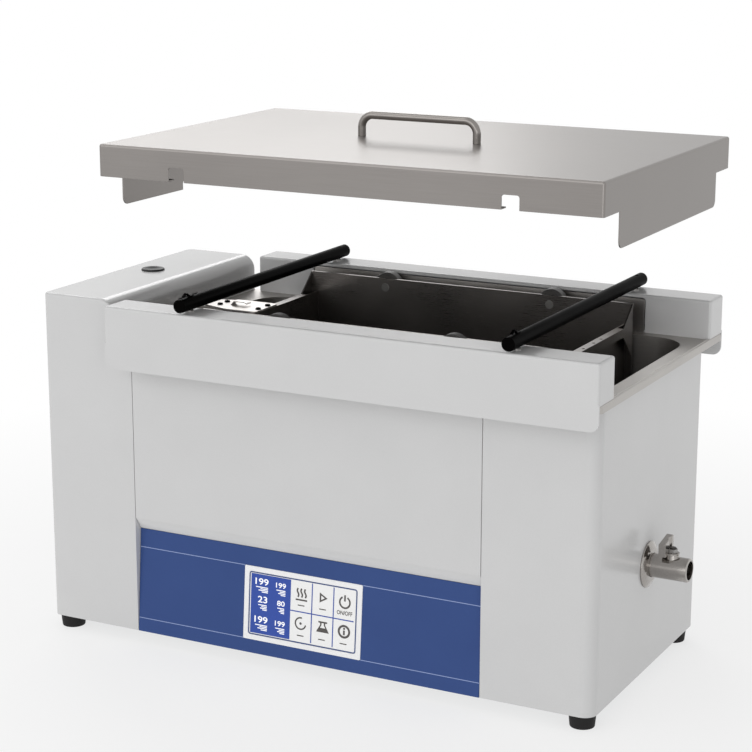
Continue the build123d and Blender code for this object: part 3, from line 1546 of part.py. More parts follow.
tab_width = 8.3
tab_depth = 25.0
tab_front_rise = 14.7
tab_back_rise = 19.5
tab_right = stem_x - 3.0
with BuildPart() as valve_lever:
    with BuildSketch(Plane.XY.offset(lever_bottom)):
        with Locations((stem_x, 0)):
            Circle(lever_hub_radius)
        with Locations(((stem_x + tab_right - tab_width) / 2, 0)):
            Rectangle(stem_x - tab_right + tab_width, 2 * lever_hub_radius)
        with Locations((stem_x, 0)):
            Circle(valve_stem_radius, mode=Mode.SUBTRACT)
    extrude(amount=lever_sheet)
    with BuildSketch(Plane.YZ.offset(tab_right - tab_width)):
        with BuildLine():
            Polyline(
                (-tab_depth * 0.62, lever_bottom),
                (-tab_depth * 0.62, lever_bottom + tab_front_rise),
                (tab_depth * 0.38, lever_bottom + tab_back_rise),
                (tab_depth * 0.38, lever_bottom),
                close=True,
            )
        make_face()
    extrude(amount=tab_width)
    chamfer(valve_lever.faces().sort_by(Axis.Z)[-1].edges(), 0.8)
    with BuildSketch(Plane.XY.offset(lever_bottom + lever_sheet)):
        with Locations((stem_x, 0)):
            Circle(lever_nut_radius + running_gap)
    extrude(amount=2 * tab_back_rise, mode=Mode.SUBTRACT)
    with BuildSketch(Plane.XY.offset(lever_bottom)):
        with Locations((stem_x, 0)):
            Circle(valve_stem_radius)
    extrude(amount=lever_sheet, mode=Mode.SUBTRACT)
valve_lever.part.label = "valve_lever"
export_step(valve_lever.part, "parts/valve_lever.step")

with BuildPart() as lever_nut:
    with BuildSketch(Plane.XY.offset(lever_bottom + lever_sheet)):
        with Locations((stem_x, 0)):
            RegularPolygon(lever_nut_radius, 6)
            Circle(valve_stem_radius, mode=Mode.SUBTRACT)
    extrude(amount=lever_nut_height)
lever_nut.part.label = "lever_nut"
export_step(lever_nut.part, "parts/lever_nut.step")

# Lid: a folded stainless tray with a turned-in lower edge, notches for the bars and end flaps
lid_top = lid_bottom + lid_skirt
lid_corner = 3.0
arm_notch_width = 50.0
arm_notch_height = arm_bottom + arm_thickness + bracket_sheet + 4 - (lid_seat - flap_drop)
flap_corner = 8.0
with BuildPart() as lid:
    with BuildSketch(Plane.XY.offset(lid_bottom)):
        with Locations((rail_center, 0)):
            RectangleRounded(lid_length, lid_width, lid_corner)
    extrude(amount=lid_skirt)
    fillet(lid.edges().group_by(Axis.Z)[-1], lid_bend_radius - 0.2)
    with BuildSketch(Plane.XY.offset(lid_bottom + lid_sheet)):
        with Locations((rail_center, 0)):
            Rectangle(lid_length - 2 * lid_sheet, lid_width - 2 * lid_sheet)
    extrude(amount=lid_skirt - 2 * lid_sheet, mode=Mode.SUBTRACT)
    with BuildSketch(Plane.XY.offset(lid_bottom)):
        with Locations((rail_center, 0)):
            Rectangle(lid_length - 2 * lid_sheet, lid_width - 2 * lid_return)
    extrude(amount=lid_sheet, mode=Mode.SUBTRACT)
    for end in (-1, 1):
        with BuildSketch(Plane.YZ.offset(rail_center + end * (lid_length / 2 - lid_sheet / 2))) as flap:
            with Locations((0, lid_bottom - flap_drop / 2 + lid_sheet / 2)):
                Rectangle(2 * flap_half_width, flap_drop + lid_sheet)
            fillet(flap.vertices().group_by(Axis.Y)[0], flap_corner)
        extrude(amount=lid_sheet / 2, both=True)
    with BuildSketch(Plane.YZ.offset(rail_center - lid_length / 2 - 1)) as arm_notch:
        with Locations((0, lid_bottom - flap_drop)):
            Rectangle(arm_notch_width, arm_notch_height, align=(Align.CENTER, Align.MIN))
        fillet(arm_notch.vertices().group_by(Axis.Y)[-1], 5)
    extrude(amount=lid_sheet + 2, mode=Mode.SUBTRACT)
    with BuildSketch(Plane.XZ.offset(-lid_width)) as notches:
        with Locations(*[(x, lid_bottom + notch_height / 2) for x in screw_x]):
            Rectangle(notch_width, notch_height)
        fillet(notches.vertices().group_by(Axis.Y)[-1], 3)
    extrude(amount=2 * lid_width, mode=Mode.SUBTRACT)
lid.part.label = "lid"
export_step(lid.part, "parts/lid.step")

handle_screw_radius = 2.5
handle_thread = 10.0
washer_radius = 7.0
handle_places = [(rail_center - handle_span / 2, 0), (rail_center + handle_span / 2, 0)]
with BuildPart() as lid_handle:
    with BuildLine() as rod_path:
        FilletPolyline(
            (rail_center - handle_span / 2, 0, lid_top),
            (rail_center - handle_span / 2, 0, lid_top + handle_height),
            (rail_center + handle_span / 2, 0, lid_top + handle_height),
            (rail_center + handle_span / 2, 0, lid_top),
            radius=handle_bend_radius,
        )
    with BuildSketch(Plane.XY.offset(lid_top)):
        with Locations(handle_places[0]):
            Circle(handle_rod_radius)
    sweep(path=rod_path.wires()[0])
    with BuildSketch(Plane.XY.offset(lid_top)):
        with Locations(*handle_places):
            Circle(handle_screw_radius)
    extrude(amount=handle_thread, mode=Mode.SUBTRACT)
lid_handle.part.label = "lid_handle"
export_step(lid_handle.part, "parts/lid_handle.step")

with BuildPart() as handle_screws:
    with BuildSketch(Plane.XY.offset(lid_top - lid_sheet)):
        with Locations(*handle_places):
            Circle(washer_radius)
    extrude(amount=-1.2)
    with BuildSketch(Plane.XY.offset(lid_top - lid_sheet - 1.2)):
        with Locations(*handle_places):
            Circle(screw_head_radius + 0.5)
    extrude(amount=-3, taper=20)
handle_screws.part.label = "handle_screws"
export_step(handle_screws.part, "parts/handle_screws.step")
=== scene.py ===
"""Looks of the ultrasonic shaker: painted steel shells, stainless tank, basket and lid, and the
blue touch panel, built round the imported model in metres, in the model's own frame."""

import math

import bmesh
import bpy
from mathutils import Matrix, Vector


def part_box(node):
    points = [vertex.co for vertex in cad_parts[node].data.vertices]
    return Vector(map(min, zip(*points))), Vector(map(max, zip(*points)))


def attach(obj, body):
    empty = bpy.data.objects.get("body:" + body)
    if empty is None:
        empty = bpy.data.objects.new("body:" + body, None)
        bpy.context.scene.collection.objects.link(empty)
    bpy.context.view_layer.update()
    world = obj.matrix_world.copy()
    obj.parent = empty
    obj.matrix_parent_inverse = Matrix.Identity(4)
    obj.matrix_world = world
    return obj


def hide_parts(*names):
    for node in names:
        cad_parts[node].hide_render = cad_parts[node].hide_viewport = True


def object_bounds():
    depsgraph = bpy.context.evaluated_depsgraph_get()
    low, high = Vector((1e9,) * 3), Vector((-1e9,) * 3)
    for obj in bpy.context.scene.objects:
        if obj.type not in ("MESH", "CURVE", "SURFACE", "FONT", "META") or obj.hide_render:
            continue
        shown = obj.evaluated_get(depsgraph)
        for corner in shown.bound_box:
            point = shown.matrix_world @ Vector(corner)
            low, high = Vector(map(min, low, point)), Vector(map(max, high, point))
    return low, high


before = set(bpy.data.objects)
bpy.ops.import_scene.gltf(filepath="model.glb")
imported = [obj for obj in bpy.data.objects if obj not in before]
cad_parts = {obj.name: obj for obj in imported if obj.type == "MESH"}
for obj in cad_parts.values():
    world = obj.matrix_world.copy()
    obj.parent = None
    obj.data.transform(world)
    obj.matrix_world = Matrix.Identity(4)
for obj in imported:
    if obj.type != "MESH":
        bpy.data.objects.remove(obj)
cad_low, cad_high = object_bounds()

# Painted shells. The body is folded from 2 mm mild steel in four wraps: a column with the drive
# tower at the left, a wrap round the right end, a front sheet between them and a rear sheet.
# They meet in open joints, and every folded edge has a small bend radius.
MM = 0.001


def linear(code):
    """Linear colour of an sRGB hex code."""
    parts = [int(code[i : i + 2], 16) / 255 for i in (0, 2, 4)]
    return tuple(c / 12.92 if c <= 0.04045 else ((c + 0.055) / 1.055) ** 2.4 for c in parts) + (1.0,)


def add(tree, kind, inputs, **settings):
    """Adds a node with its settings; an input takes a value or another node's output."""
    made = tree.nodes.new(kind)
    for name, value in settings.items():
        setattr(made, name, value)
    for name, value in inputs.items():
        if isinstance(value, bpy.types.NodeSocket):
            tree.links.new(value, made.inputs[name])
        else:
            made.inputs[name].default_value = value
    return made


def surface(name, dark, light, rough, grain_mm, relief_mm, cloud_mm=60.0, metallic=0.0, **more):
    """Material with a grain of the given size along each axis and broad, cloudy variation."""
    material = bpy.data.materials.new(name)
    material.use_nodes = True
    tree = material.node_tree
    tree.nodes.clear()
    place = add(tree, "ShaderNodeTexCoord", {}).outputs["Object"]
    grain_scale = [1 / (size * MM) for size in grain_mm]
    stretch = add(tree, "ShaderNodeMapping", {"Vector": place, "Scale": grain_scale})
    grain = add(tree, "ShaderNodeTexNoise", {"Vector": stretch.outputs[0], "Scale": 1.0, "Detail": 3.0})
    cloud = add(tree, "ShaderNodeTexNoise", {"Vector": place, "Scale": 1 / (cloud_mm * MM), "Detail": 2.0})
    both = add(tree, "ShaderNodeMath", {0: grain.outputs[0], 1: cloud.outputs[0]}, operation="ADD")
    low, high = 0.6, 1.4  # the span in which the sum of the two noises mostly lies
    tone = add(tree, "ShaderNodeMapRange", {0: both.outputs[0], 1: low, 2: high})
    shades = {0: tone.outputs[0], 6: linear(dark), 7: linear(light)}
    colour = add(tree, "ShaderNodeMix", shades, data_type="RGBA")
    gloss = {0: both.outputs[0], 1: low, 2: high, 3: rough[0], 4: rough[1]}
    sheen = add(tree, "ShaderNodeMapRange", gloss)
    relief = add(tree, "ShaderNodeBump", {"Height": grain.outputs[0], "Distance": relief_mm * MM})
    finish = {
        "Base Color": colour.outputs[2],
        "Roughness": sheen.outputs[0],
        "Metallic": metallic,
        "Normal": relief.outputs[0],
        **more,
    }
    shader = add(tree, "ShaderNodeBsdfPrincipled", finish)
    add(tree, "ShaderNodeOutputMaterial", {"Surface": shader.outputs[0]})
    return material


def plain_mesh(piece):
    """Mesh of the piece with its modifiers taken in."""
    return bpy.data.meshes.new_from_object(piece.evaluated_get(bpy.context.evaluated_depsgraph_get()))


def worked(node, body, look, edge_mm):
    """Copy of a CAD node with its sharp edges broken, as deburred sheet or moulded plastic has them."""
    shape = bmesh.new()
    shape.from_mesh(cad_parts[node].data)
    bmesh.ops.remove_doubles(shape, verts=shape.verts, dist=0.002 * MM)
    bmesh.ops.dissolve_limit(shape, angle_limit=math.radians(0.4), verts=shape.verts, edges=shape.edges)
    mesh = bpy.data.meshes.new(f"{node}_finished")
    shape.to_mesh(mesh)
    shape.free()
    mesh.shade_smooth()
    piece = bpy.data.objects.new(mesh.name, mesh)
    bpy.context.scene.collection.objects.link(piece)
    bevel = piece.modifiers.new("broken_edges", "BEVEL")
    bevel.width = edge_mm * MM
    bevel.segments = 2
    bevel.limit_method = "ANGLE"
    bevel.angle_limit = math.radians(40)
    flats = piece.modifiers.new("flat_faces_stay_flat", "WEIGHTED_NORMAL")
    flats.mode = "FACE_AREA"
    flats.weight = 100
    flats.thresh = 0.001
    piece.data = plain_mesh(piece)
    piece.modifiers.clear()
    piece.data.materials.clear()
    piece.data.materials.append(look)
    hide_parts(node)
    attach(piece, body)
    return piece


def paint(node, look):
    """Gives a CAD node that keeps its own shape its material."""
    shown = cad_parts[node]
    shown.data.materials.clear()
    shown.data.materials.append(look)


# Polyester powder coat, baked: an even pale grey under a clear, glossy skin that gives back a
# faint mirror image of what stands near it.
powder_coat = surface(
    "powder_coated_steel", "D6D6D6", "DADADA", (0.36, 0.42), (1.2, 1.2, 1.2), 0.002,
    **{"Coat Weight": 1.0, "Coat Roughness": 0.2, "Coat IOR": 1.5, "Specular IOR Level": 0.0},
)
for shell in ("left_housing", "right_housing", "front_panel", "rear_panel"):
    worked(shell, "housing", powder_coat, 0.5)

# Feet and bottom sheet. Four tapered bumpers of black rubber are moulded with a recess for the
# pan head screw that holds each to the zinc-plated bottom sheet with its air slots.


def solid_boxes(node):
    """Low and high corner of each separate solid of a CAD node."""
    shape = bmesh.new()
    shape.from_mesh(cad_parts[node].data)
    bmesh.ops.remove_doubles(shape, verts=shape.verts, dist=0.002 * MM)
    left, boxes = set(shape.verts), []
    while left:
        reached = [left.pop()]
        for corner in reached:
            near = {edge.other_vert(corner) for edge in corner.link_edges} & left
            left -= near
            reached.extend(near)
        spans = [[corner.co[axis] for corner in reached] for axis in range(3)]
        boxes.append((Vector([min(span) for span in spans]), Vector([max(span) for span in spans])))
    shape.free()
    return sorted(boxes, key=lambda box: tuple(box[0]))


def cross_recessed_screws():
    """Tree that stands a pan head screw with a cross recess on every point, with its sizes as inputs."""
    tree = bpy.data.node_groups.new("cross_recessed_screws", "GeometryNodeTree")
    face, sockets = tree.interface, {}
    face.new_socket("Seats", in_out="INPUT", socket_type="NodeSocketGeometry")
    kinds = {size: "Float" for size in ("Head Radius", "Head Height", "Shank Radius", "Shank Length")}
    kinds.update({"Outwards": "Vector", "Steel": "Material"})
    for name, kind in kinds.items():
        made = face.new_socket(name, in_out="INPUT", socket_type="NodeSocket" + kind)
        sockets[name] = made.identifier
    face.new_socket("Screws", in_out="OUTPUT", socket_type="NodeSocketGeometry")
    given = tree.nodes.new("NodeGroupInput").outputs

    def part_of(size, share):
        return add(tree, "ShaderNodeMath", {0: given[size], 1: share}, operation="MULTIPLY").outputs[0]

    head_sizes = {
        "Vertices": 32,
        "Radius Top": part_of("Head Radius", 0.74),
        "Radius Bottom": given["Head Radius"],
        "Depth": given["Head Height"],
    }
    head = add(tree, "GeometryNodeMeshCone", head_sizes)
    at_top = add(tree, "ShaderNodeCombineXYZ", {"Z": given["Head Height"]})
    cut = head.outputs["Mesh"]
    for across, along, deep in ((1.0, 0.24, 1.0), (0.24, 1.0, 0.94)):
        size = {
            "X": part_of("Head Radius", across),
            "Y": part_of("Head Radius", along),
            "Z": part_of("Head Height", deep),
        }
        sides = add(tree, "ShaderNodeCombineXYZ", size)
        bar = add(tree, "GeometryNodeMeshCube", {"Size": sides.outputs[0]})
        lift = {"Geometry": bar.outputs["Mesh"], "Translation": at_top.outputs[0]}
        slot = add(tree, "GeometryNodeTransform", lift)
        both = {"Mesh 1": cut, "Mesh 2": slot.outputs[0]}
        cut = add(tree, "GeometryNodeMeshBoolean", both, operation="DIFFERENCE").outputs["Mesh"]
    shank_sizes = {"Vertices": 24, "Radius": given["Shank Radius"], "Depth": given["Shank Length"]}
    shank = add(tree, "GeometryNodeMeshCylinder", shank_sizes)
    below = add(tree, "ShaderNodeCombineXYZ", {"Z": part_of("Shank Length", -0.5)})
    drop = {"Geometry": shank.outputs["Mesh"], "Translation": below.outputs[0]}
    sunk = add(tree, "GeometryNodeTransform", drop)
    screw = add(tree, "GeometryNodeJoinGeometry", {})
    tree.links.new(cut, screw.inputs[0])
    tree.links.new(sunk.outputs[0], screw.inputs[0])
    turned = add(tree, "FunctionNodeAlignRotationToVector", {"Vector": given["Outwards"]}, axis="Z")
    stood = {"Points": given["Seats"], "Instance": screw.outputs[0], "Rotation": turned.outputs[0]}
    screws = add(tree, "GeometryNodeInstanceOnPoints", stood)
    solid = add(tree, "GeometryNodeRealizeInstances", {"Geometry": screws.outputs[0]})
    coat = {"Geometry": solid.outputs[0], "Material": given["Steel"]}
    coated = add(tree, "GeometryNodeSetMaterial", coat)
    ready = tree.nodes.new("NodeGroupOutput")
    tree.links.new(coated.outputs[0], ready.inputs[0])
    return tree, sockets


screw_tree, screw_sockets = cross_recessed_screws()


def screw_set(node, body, outwards, head_height, head_radius, shank_radius, shank_length, look):
    """Screws on the seats of a CAD node's solids, all with their heads to one side."""
    way = Vector(outwards)
    seats = []
    for low, high in solid_boxes(node):
        middle = (low + high) / 2
        top = high if sum(way) > 0 else low
        seats.append(middle + way * ((top - middle).dot(way) - head_height * MM))
    mesh = bpy.data.meshes.new(f"{node}_seats")
    mesh.from_pydata(seats, [], [])
    piece = bpy.data.objects.new(f"{node}_finished", mesh)
    bpy.context.scene.collection.objects.link(piece)
    stand = piece.modifiers.new("screws", "NODES")
    stand.node_group = screw_tree
    inputs = {
        "Head Radius": head_radius * MM,
        "Head Height": head_height * MM,
        "Shank Radius": shank_radius * MM,
        "Shank Length": shank_length * MM,
        "Outwards": way,
        "Steel": look,
    }
    for name, value in inputs.items():
        stand[screw_sockets[name]] = value
    piece.data = plain_mesh(piece)
    piece.modifiers.clear()
    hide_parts(node)
    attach(piece, body)


# Moulded rubber: dull black with a slightly open, sooty skin.
moulded_rubber = surface(
    "moulded_rubber", "181717", "222121", (0.55, 0.75), (0.5, 0.5, 0.5), 0.02,
    **{"Specular IOR Level": 0.25},
)
# Zinc plate on sheet: a soft grey gleam with cloudy patches.
zinc_plate = surface(
    "zinc_plated_steel", "8F9498", "B4B8BA", (0.35, 0.5), (6, 6, 6), 0.003, cloud_mm=25, metallic=1.0
)
# Bright zinc-nickel on screws and turned steel: smooth and a little darker than the sheet.
screw_steel = surface(
    "bright_screw_steel", "8A8988", "ABA9A6", (0.25, 0.38), (0.4, 0.4, 0.4), 0.004, metallic=1.0
)
worked("rubber_feet", "housing", moulded_rubber, 0.8)
screw_set("foot_screws", "housing", (0, 0, -1), 3.0, 5.2, 2.5, 14.0, screw_steel)
worked("base_plate", "housing", zinc_plate, 0.2)

# Control panel. A zinc-plated backing plate carries a printed polyester foil, and the pale moulded
# frame of the touch screen stands a little proud of it; a board behind the plate drives the screen.

# Printed foil: deep blue from its back, with a fine matt grain that spreads any gloss.
printed_foil = surface(
    "printed_polyester_foil", "395088", "3D558D", (0.4, 0.46), (0.35, 0.35, 0.35), 0.003,
    **{"Specular IOR Level": 0.15},
)
# Moulded ABS: clean, even white with a soft shine.
moulded_white = surface("moulded_white_abs", "FDFDFE", "FFFFFF", (0.3, 0.38), (5, 5, 5), 0.0)
# Lit cover glass: smooth, and bright from the white display behind it.
screen_glass = surface(
    "lit_cover_glass", "E9E9E8", "ECECEB", (0.1, 0.14), (40, 40, 40), 0.0,
    **{"Emission Color": (1.0, 1.0, 1.0, 1.0), "Emission Strength": 0.15},
)
# Glass-fibre board under green lacquer: even, half glossy.
circuit_board = surface("lacquered_circuit_board", "1C5A38", "24683F", (0.3, 0.42), (0.8, 0.8, 0.8), 0.005)
paint("control_panel", zinc_plate)
worked("panel_foil", "housing", printed_foil, 0.12)
worked("screen_frame", "housing", moulded_white, 0.25)
worked("touch_screen", "housing", screen_glass, 0.15)
paint("control_board", circuit_board)

# Panel print and display. Thin ink and display layers lie on the foil and the glass: pale lines
# across the foil, a blue readout block with plain numbers, and six touch keys with simple signs.
# Each layer is cut from flat outlines, given in millimetres from the foot of the panel's middle.
foil_low, foil_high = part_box("panel_foil")
screen_low, screen_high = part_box("screen_frame")
foil_depth = 0.5 * MM
panel_lean = math.atan2(foil_high[1] - foil_low[1] - foil_depth, foil_high[2] - foil_low[2])
panel_up = Vector((0, math.sin(panel_lean), math.cos(panel_lean)))
panel_out = Vector((0, -math.cos(panel_lean), math.sin(panel_lean)))
panel_foot = Vector(((foil_low[0] + foil_high[0]) / 2, foil_low[1], foil_low[2]))
panel_turn = Matrix((Vector((1, 0, 0)), panel_up, panel_out)).transposed().to_4x4()
panel_place = Matrix.Translation(panel_foot) @ panel_turn


def laid(name, drawing, level_mm, look, fit=None):
    """Turns a flat curve or text into a mesh, fits it to its box and lays it on the panel."""
    flat = bpy.data.objects.new(name + "_flat", drawing)
    bpy.context.scene.collection.objects.link(flat)
    mesh = plain_mesh(flat)
    bpy.data.objects.remove(flat)
    mesh.name = name
    if fit:
        spread = [[corner.co[axis] for corner in mesh.vertices] for axis in (0, 1)]
        left, bottom, width, height = [size * MM for size in fit]
        across = width / (max(spread[0]) - min(spread[0]))
        upward = height / (max(spread[1]) - min(spread[1]))
        for corner in mesh.vertices:
            corner.co[0] = left + (corner.co[0] - min(spread[0])) * across
            corner.co[1] = bottom + (corner.co[1] - min(spread[1])) * upward
    mesh.transform(panel_place @ Matrix.Translation((0, 0, level_mm * MM)))
    mesh.materials.clear()
    mesh.materials.append(look)
    piece = bpy.data.objects.new(name, mesh)
    bpy.context.scene.collection.objects.link(piece)
    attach(piece, "housing")


def ink(name, outlines, level_mm, look, thick_mm=0.05):
    """Flat layer of closed outlines, in millimetres on the panel; inner outlines are holes."""
    drawing = bpy.data.curves.new(name, "CURVE")
    drawing.dimensions = "2D"
    drawing.fill_mode = "BOTH"
    drawing.extrude = thick_mm * MM / 2
    for outline in outlines:
        line = drawing.splines.new("POLY")
        line.points.add(len(outline) - 1)
        for point, (x, y) in zip(line.points, outline):
            point.co = (x * MM, y * MM, 0, 1)
        line.use_cyclic_u = True
    laid(name, drawing, level_mm, look)


def figures(name, text, level_mm, look, fit, boldness):
    """Plain figures stretched into a box of left, bottom, width and height in millimetres."""
    drawing = bpy.data.curves.new(name, "FONT")
    drawing.body = text
    drawing.size = fit[3] * MM / 0.7
    drawing.extrude = 0.02 * MM
    drawing.offset = boldness * MM
    drawing.resolution_u = 6
    laid(name, drawing, level_mm, look, fit)


def box_outline(left, right, bottom, top, corner=0.0):
    """Rectangle, with rounded corners where a radius is given."""
    if not corner:
        return [(left, bottom), (right, bottom), (right, top), (left, top)]
    middles = (
        (right - corner, bottom + corner, -90),
        (right - corner, top - corner, 0),
        (left + corner, top - corner, 90),
        (left + corner, bottom + corner, 180),
    )
    return [point for x, y, start in middles for point in arc_points(x, y, corner, start, start + 90, 6)]


def arc_points(x, y, radius, start, end, steps=32):
    """Points of an arc in degrees, both ends included."""
    turns = [math.radians(start + (end - start) * k / steps) for k in range(steps + 1)]
    return [(x + radius * math.cos(turn), y + radius * math.sin(turn)) for turn in turns]


def stroke(points, width):
    """Outline of a line of the given width through the points."""
    left, right = [], []
    for k, (x, y) in enumerate(points):
        before = points[max(k - 1, 0)]
        after = points[min(k + 1, len(points) - 1)]
        dx, dy = after[0] - before[0], after[1] - before[1]
        size = math.hypot(dx, dy)
        nx, ny = -dy / size * width / 2, dx / size * width / 2
        left.append((x + nx, y + ny))
        right.append((x - nx, y - ny))
    return left + right[::-1]


def ring(x, y, radius, width):
    """Closed ring as an outer and an inner outline."""
    return [arc_points(x, y, radius, 0, 354, 59), arc_points(x, y, radius - width, 0, 354, 59)]


# Screen-printing ink: flat and even, pale on the foil and dark round the glass.
line_ink = surface("pale_line_ink", "94A6D2", "9DAEDA", (0.4, 0.5), (0.4, 0.4, 0.4), 0.0)
outline_ink = surface("dark_outline_ink", "34497C", "3A5084", (0.3, 0.4), (0.4, 0.4, 0.4), 0.0)
key_ink = surface("key_sign_ink", "4E4A47", "565250", (0.4, 0.5), (0.4, 0.4, 0.4), 0.0)
# Lit display: its white glows a little, so it stays clear in the shade; the blue does not glow.
readout_blue = surface(
    "lit_readout_blue", "3B56AC", "405BB2", (0.3, 0.4), (0.4, 0.4, 0.4), 0.0,
    **{"Specular IOR Level": 0.2},
)
readout_white = surface(
    "lit_readout_white", "FAFCFF", "FEFEFF", (0.3, 0.4), (0.4, 0.4, 0.4), 0.0,
    **{"Emission Color": (1.0, 1.0, 1.0, 1.0), "Emission Strength": 0.3},
)

frame_left = (screen_low[0] - panel_foot[0]) / MM
frame_right = (screen_high[0] - panel_foot[0]) / MM
frame_bottom = (screen_low[2] - foil_low[2]) / math.cos(panel_lean) / MM
frame_top = (screen_high[2] - foil_low[2]) / math.cos(panel_lean) / MM
panel_half = (foil_high[0] - foil_low[0]) / MM / 2
foil_line = 0.8
for name, height in (("foil_line_upper", frame_top), ("foil_line_lower", frame_bottom + foil_line)):
    spans = [
        box_outline(-panel_half + 0.4, frame_left - 0.2, height - foil_line, height),
        box_outline(frame_right + 0.2, panel_half - 0.4, height - foil_line, height),
    ]
    ink(name, spans, 0.03, line_ink)

ink_level = 0.48
sign_level = 0.54
frame_border = 6.1
outline_width = 1.5
field_left, field_right = frame_left + frame_border, frame_right - frame_border
field_bottom, field_top = frame_bottom + frame_border, frame_top - frame_border
field_box = (field_left, field_right, field_bottom, field_top)
inner_box = [side + way * outline_width for side, way in zip(field_box, (1, -1, 1, -1))]
field_outlines = [box_outline(*field_box, 3.0), box_outline(*inner_box, 1.6)]
ink("screen_outline", field_outlines, ink_level, outline_ink)
display_left = field_left + 2.6
display_right = display_left + 51.5
display = box_outline(display_left, display_right, field_bottom + 2.3, field_top - 2.1)
ink("readout_block", [display], ink_level, readout_blue)
key_width = 27.4
key_right = field_right - 3.6
key_middle = (field_bottom + field_top) / 2 - 0.4
divider = 0.65
divider_places = (display_right + key_width, display_right + 2 * key_width)
dividers = [
    box_outline(x - divider, x + divider, field_bottom + 2.8, field_top - 2.2) for x in divider_places
]
ink("key_dividers", dividers, ink_level, readout_blue)
across = box_outline(display_right, key_right, key_middle - divider, key_middle + divider)
ink("key_divider_across", [across], ink_level + 0.02, readout_blue)

# Each readout row has a large and a small figure with a short stack of plain marks under each. A
# row gives its figures, their right edges from the block's left, widths and foot above the field.
readout_rows = (
    ((("199", 22.4, 17.0), ("199", 45.0, 12.8)), 59.6),
    ((("23", 21.4, 12.2), ("80", 44.1, 9.8)), 38.9),
    ((("199", 22.4, 17.0), ("199", 45.0, 12.8)), 15.2),
)
for row, (pair, foot) in enumerate(readout_rows):
    marks = []
    for (text, edge, width), size, height in zip(pair, ("big", "small"), (7.6, 6.0)):
        right = display_left + edge
        figure_box = (right - width, field_bottom + foot, width, height)
        name, bold = f"readout_{size}_{row}", 0.018 * height
        figures(name, text, sign_level, readout_white, figure_box, bold)
        for k, share in enumerate((0.95, 0.6, 0.75, 0.5)):
            top = field_bottom + foot - 2.2 - 1.8 * k
            marks.append(box_outline(right - width * share, right - 0.4, top - 1.0, top))
    ink(f"readout_marks_{row}", marks, sign_level, readout_white)

heat_x, start_x, power_x = [display_right + key_width * k + 13.7 for k in range(3)]
top_row = field_top - 16.2
low_row = field_bottom + 23.2


def wave(x):
    """Rising wavy line of the heat sign."""
    return stroke([(x + math.sin(math.pi * t / 6), top_row - 4.2 + 0.84 * t) for t in range(13)], 1.9)


heat = [wave(heat_x - 4.4), wave(heat_x + 0.3), wave(heat_x + 5.0)]
heat.append(box_outline(heat_x - 7.2, heat_x + 7.6, top_row - 8.2, top_row - 6.4))
ink("key_sign_heat", heat, sign_level, key_ink)
start = [
    [(start_x - 4.0, top_row - 6.2), (start_x + 6.0, top_row - 0.4), (start_x - 4.0, top_row + 5.4)],
    [(start_x - 2.1, top_row - 3.1), (start_x + 2.5, top_row - 0.4), (start_x - 2.1, top_row + 2.3)],
]
ink("key_sign_start", start, sign_level, key_ink)
power = [
    stroke(arc_points(power_x + 0.4, top_row - 1.0, 6.4, 118, 422), 2.0),
    box_outline(power_x - 0.6, power_x + 1.4, top_row + 0.2, top_row + 7.4),
]
ink("key_sign_power", power, sign_level, key_ink)
turn = [
    stroke(arc_points(heat_x, low_row, 6.6, 75, 350), 1.7),
    arc_points(heat_x, low_row, 1.5, 0, 350, 18),
]
ink("key_sign_turn", turn, sign_level, key_ink)
flask_x = start_x + 0.9
flask_half = ((8.2, -5.6), (3.2, 2.8), (3.2, 5.2), (5.6, 5.2), (5.6, 7.0))
clear_half = ((3.4, -0.6), (1.5, 3.0), (1.5, 5.2))
flask = [
    [(flask_x + side * x, low_row + y) for side, row in ((1, half), (-1, half[::-1])) for x, y in row]
    for half in (flask_half, clear_half)
]
ink("key_sign_flask", flask, sign_level, key_ink)
info = ring(power_x + 0.6, low_row, 7.8, 2.5) + [
    box_outline(power_x - 0.5, power_x + 1.7, low_row - 4.0, low_row + 1.4),
    arc_points(power_x + 0.6, low_row + 3.4, 1.3, 0, 350, 18),
]
ink("key_sign_info", info, sign_level, key_ink)
tick_places = [(heat_x, top_row - 13.6), (start_x, top_row - 13.6)]
tick_places += [(x, low_row - 14.2) for x in (heat_x, start_x, power_x)]
ticks = [box_outline(x - 4.4, x + 4.4, y - 0.6, y + 0.6, 0.5) for x, y in tick_places]
ink("key_name_marks", ticks, sign_level, key_ink)
power_word = (power_x - 9.2, top_row - 15.6, 19.4, 4.8)
figures("power_key_text", "ON/OFF", sign_level, key_ink, power_word, 0.12)

# Generator and rear fittings. The generator board lies on the bottom sheet; at the rear are a black
# nylon mains inlet, a rocker switch in its frame and the cooling fan behind the punched grille.

# Glass-filled nylon: black, with a fine moulded grain.
moulded_black = surface("moulded_black_nylon", "0D0D0E", "18181A", (0.4, 0.52), (0.6, 0.6, 0.6), 0.01)
paint("generator_board", circuit_board)
worked("power_inlet", "housing", moulded_black, 0.3)
worked("switch_frame", "housing", moulded_black, 0.3)
worked("switch_rocker", "mains_rocker", moulded_black, 0.4)
paint("fan_frame", moulded_black)
paint("fan_rotor", moulded_black)
screw_set("rear_panel_screws", "housing", (0, 1, 0), 2.2, 4.0, 2.0, 8.0, screw_steel)

# Tank. Deep drawn from 1.5 mm stainless; its flange lies on the body all round and under the rails,
# and the right edge is rolled over the side. Transducers are glued under its floor: aluminium
# cones, ceramic rings and steel masses, with silicone heating mats on the walls.

# Drawn stainless: cloudy and satin from the drawing, with only a broad, soft gleam.
drawn_stainless = surface(
    "deep_drawn_stainless", "A8A5A2", "BAB7B3", (0.36, 0.48), (9, 40, 0.8), 0.002,
    cloud_mm=120, metallic=1.0,
)
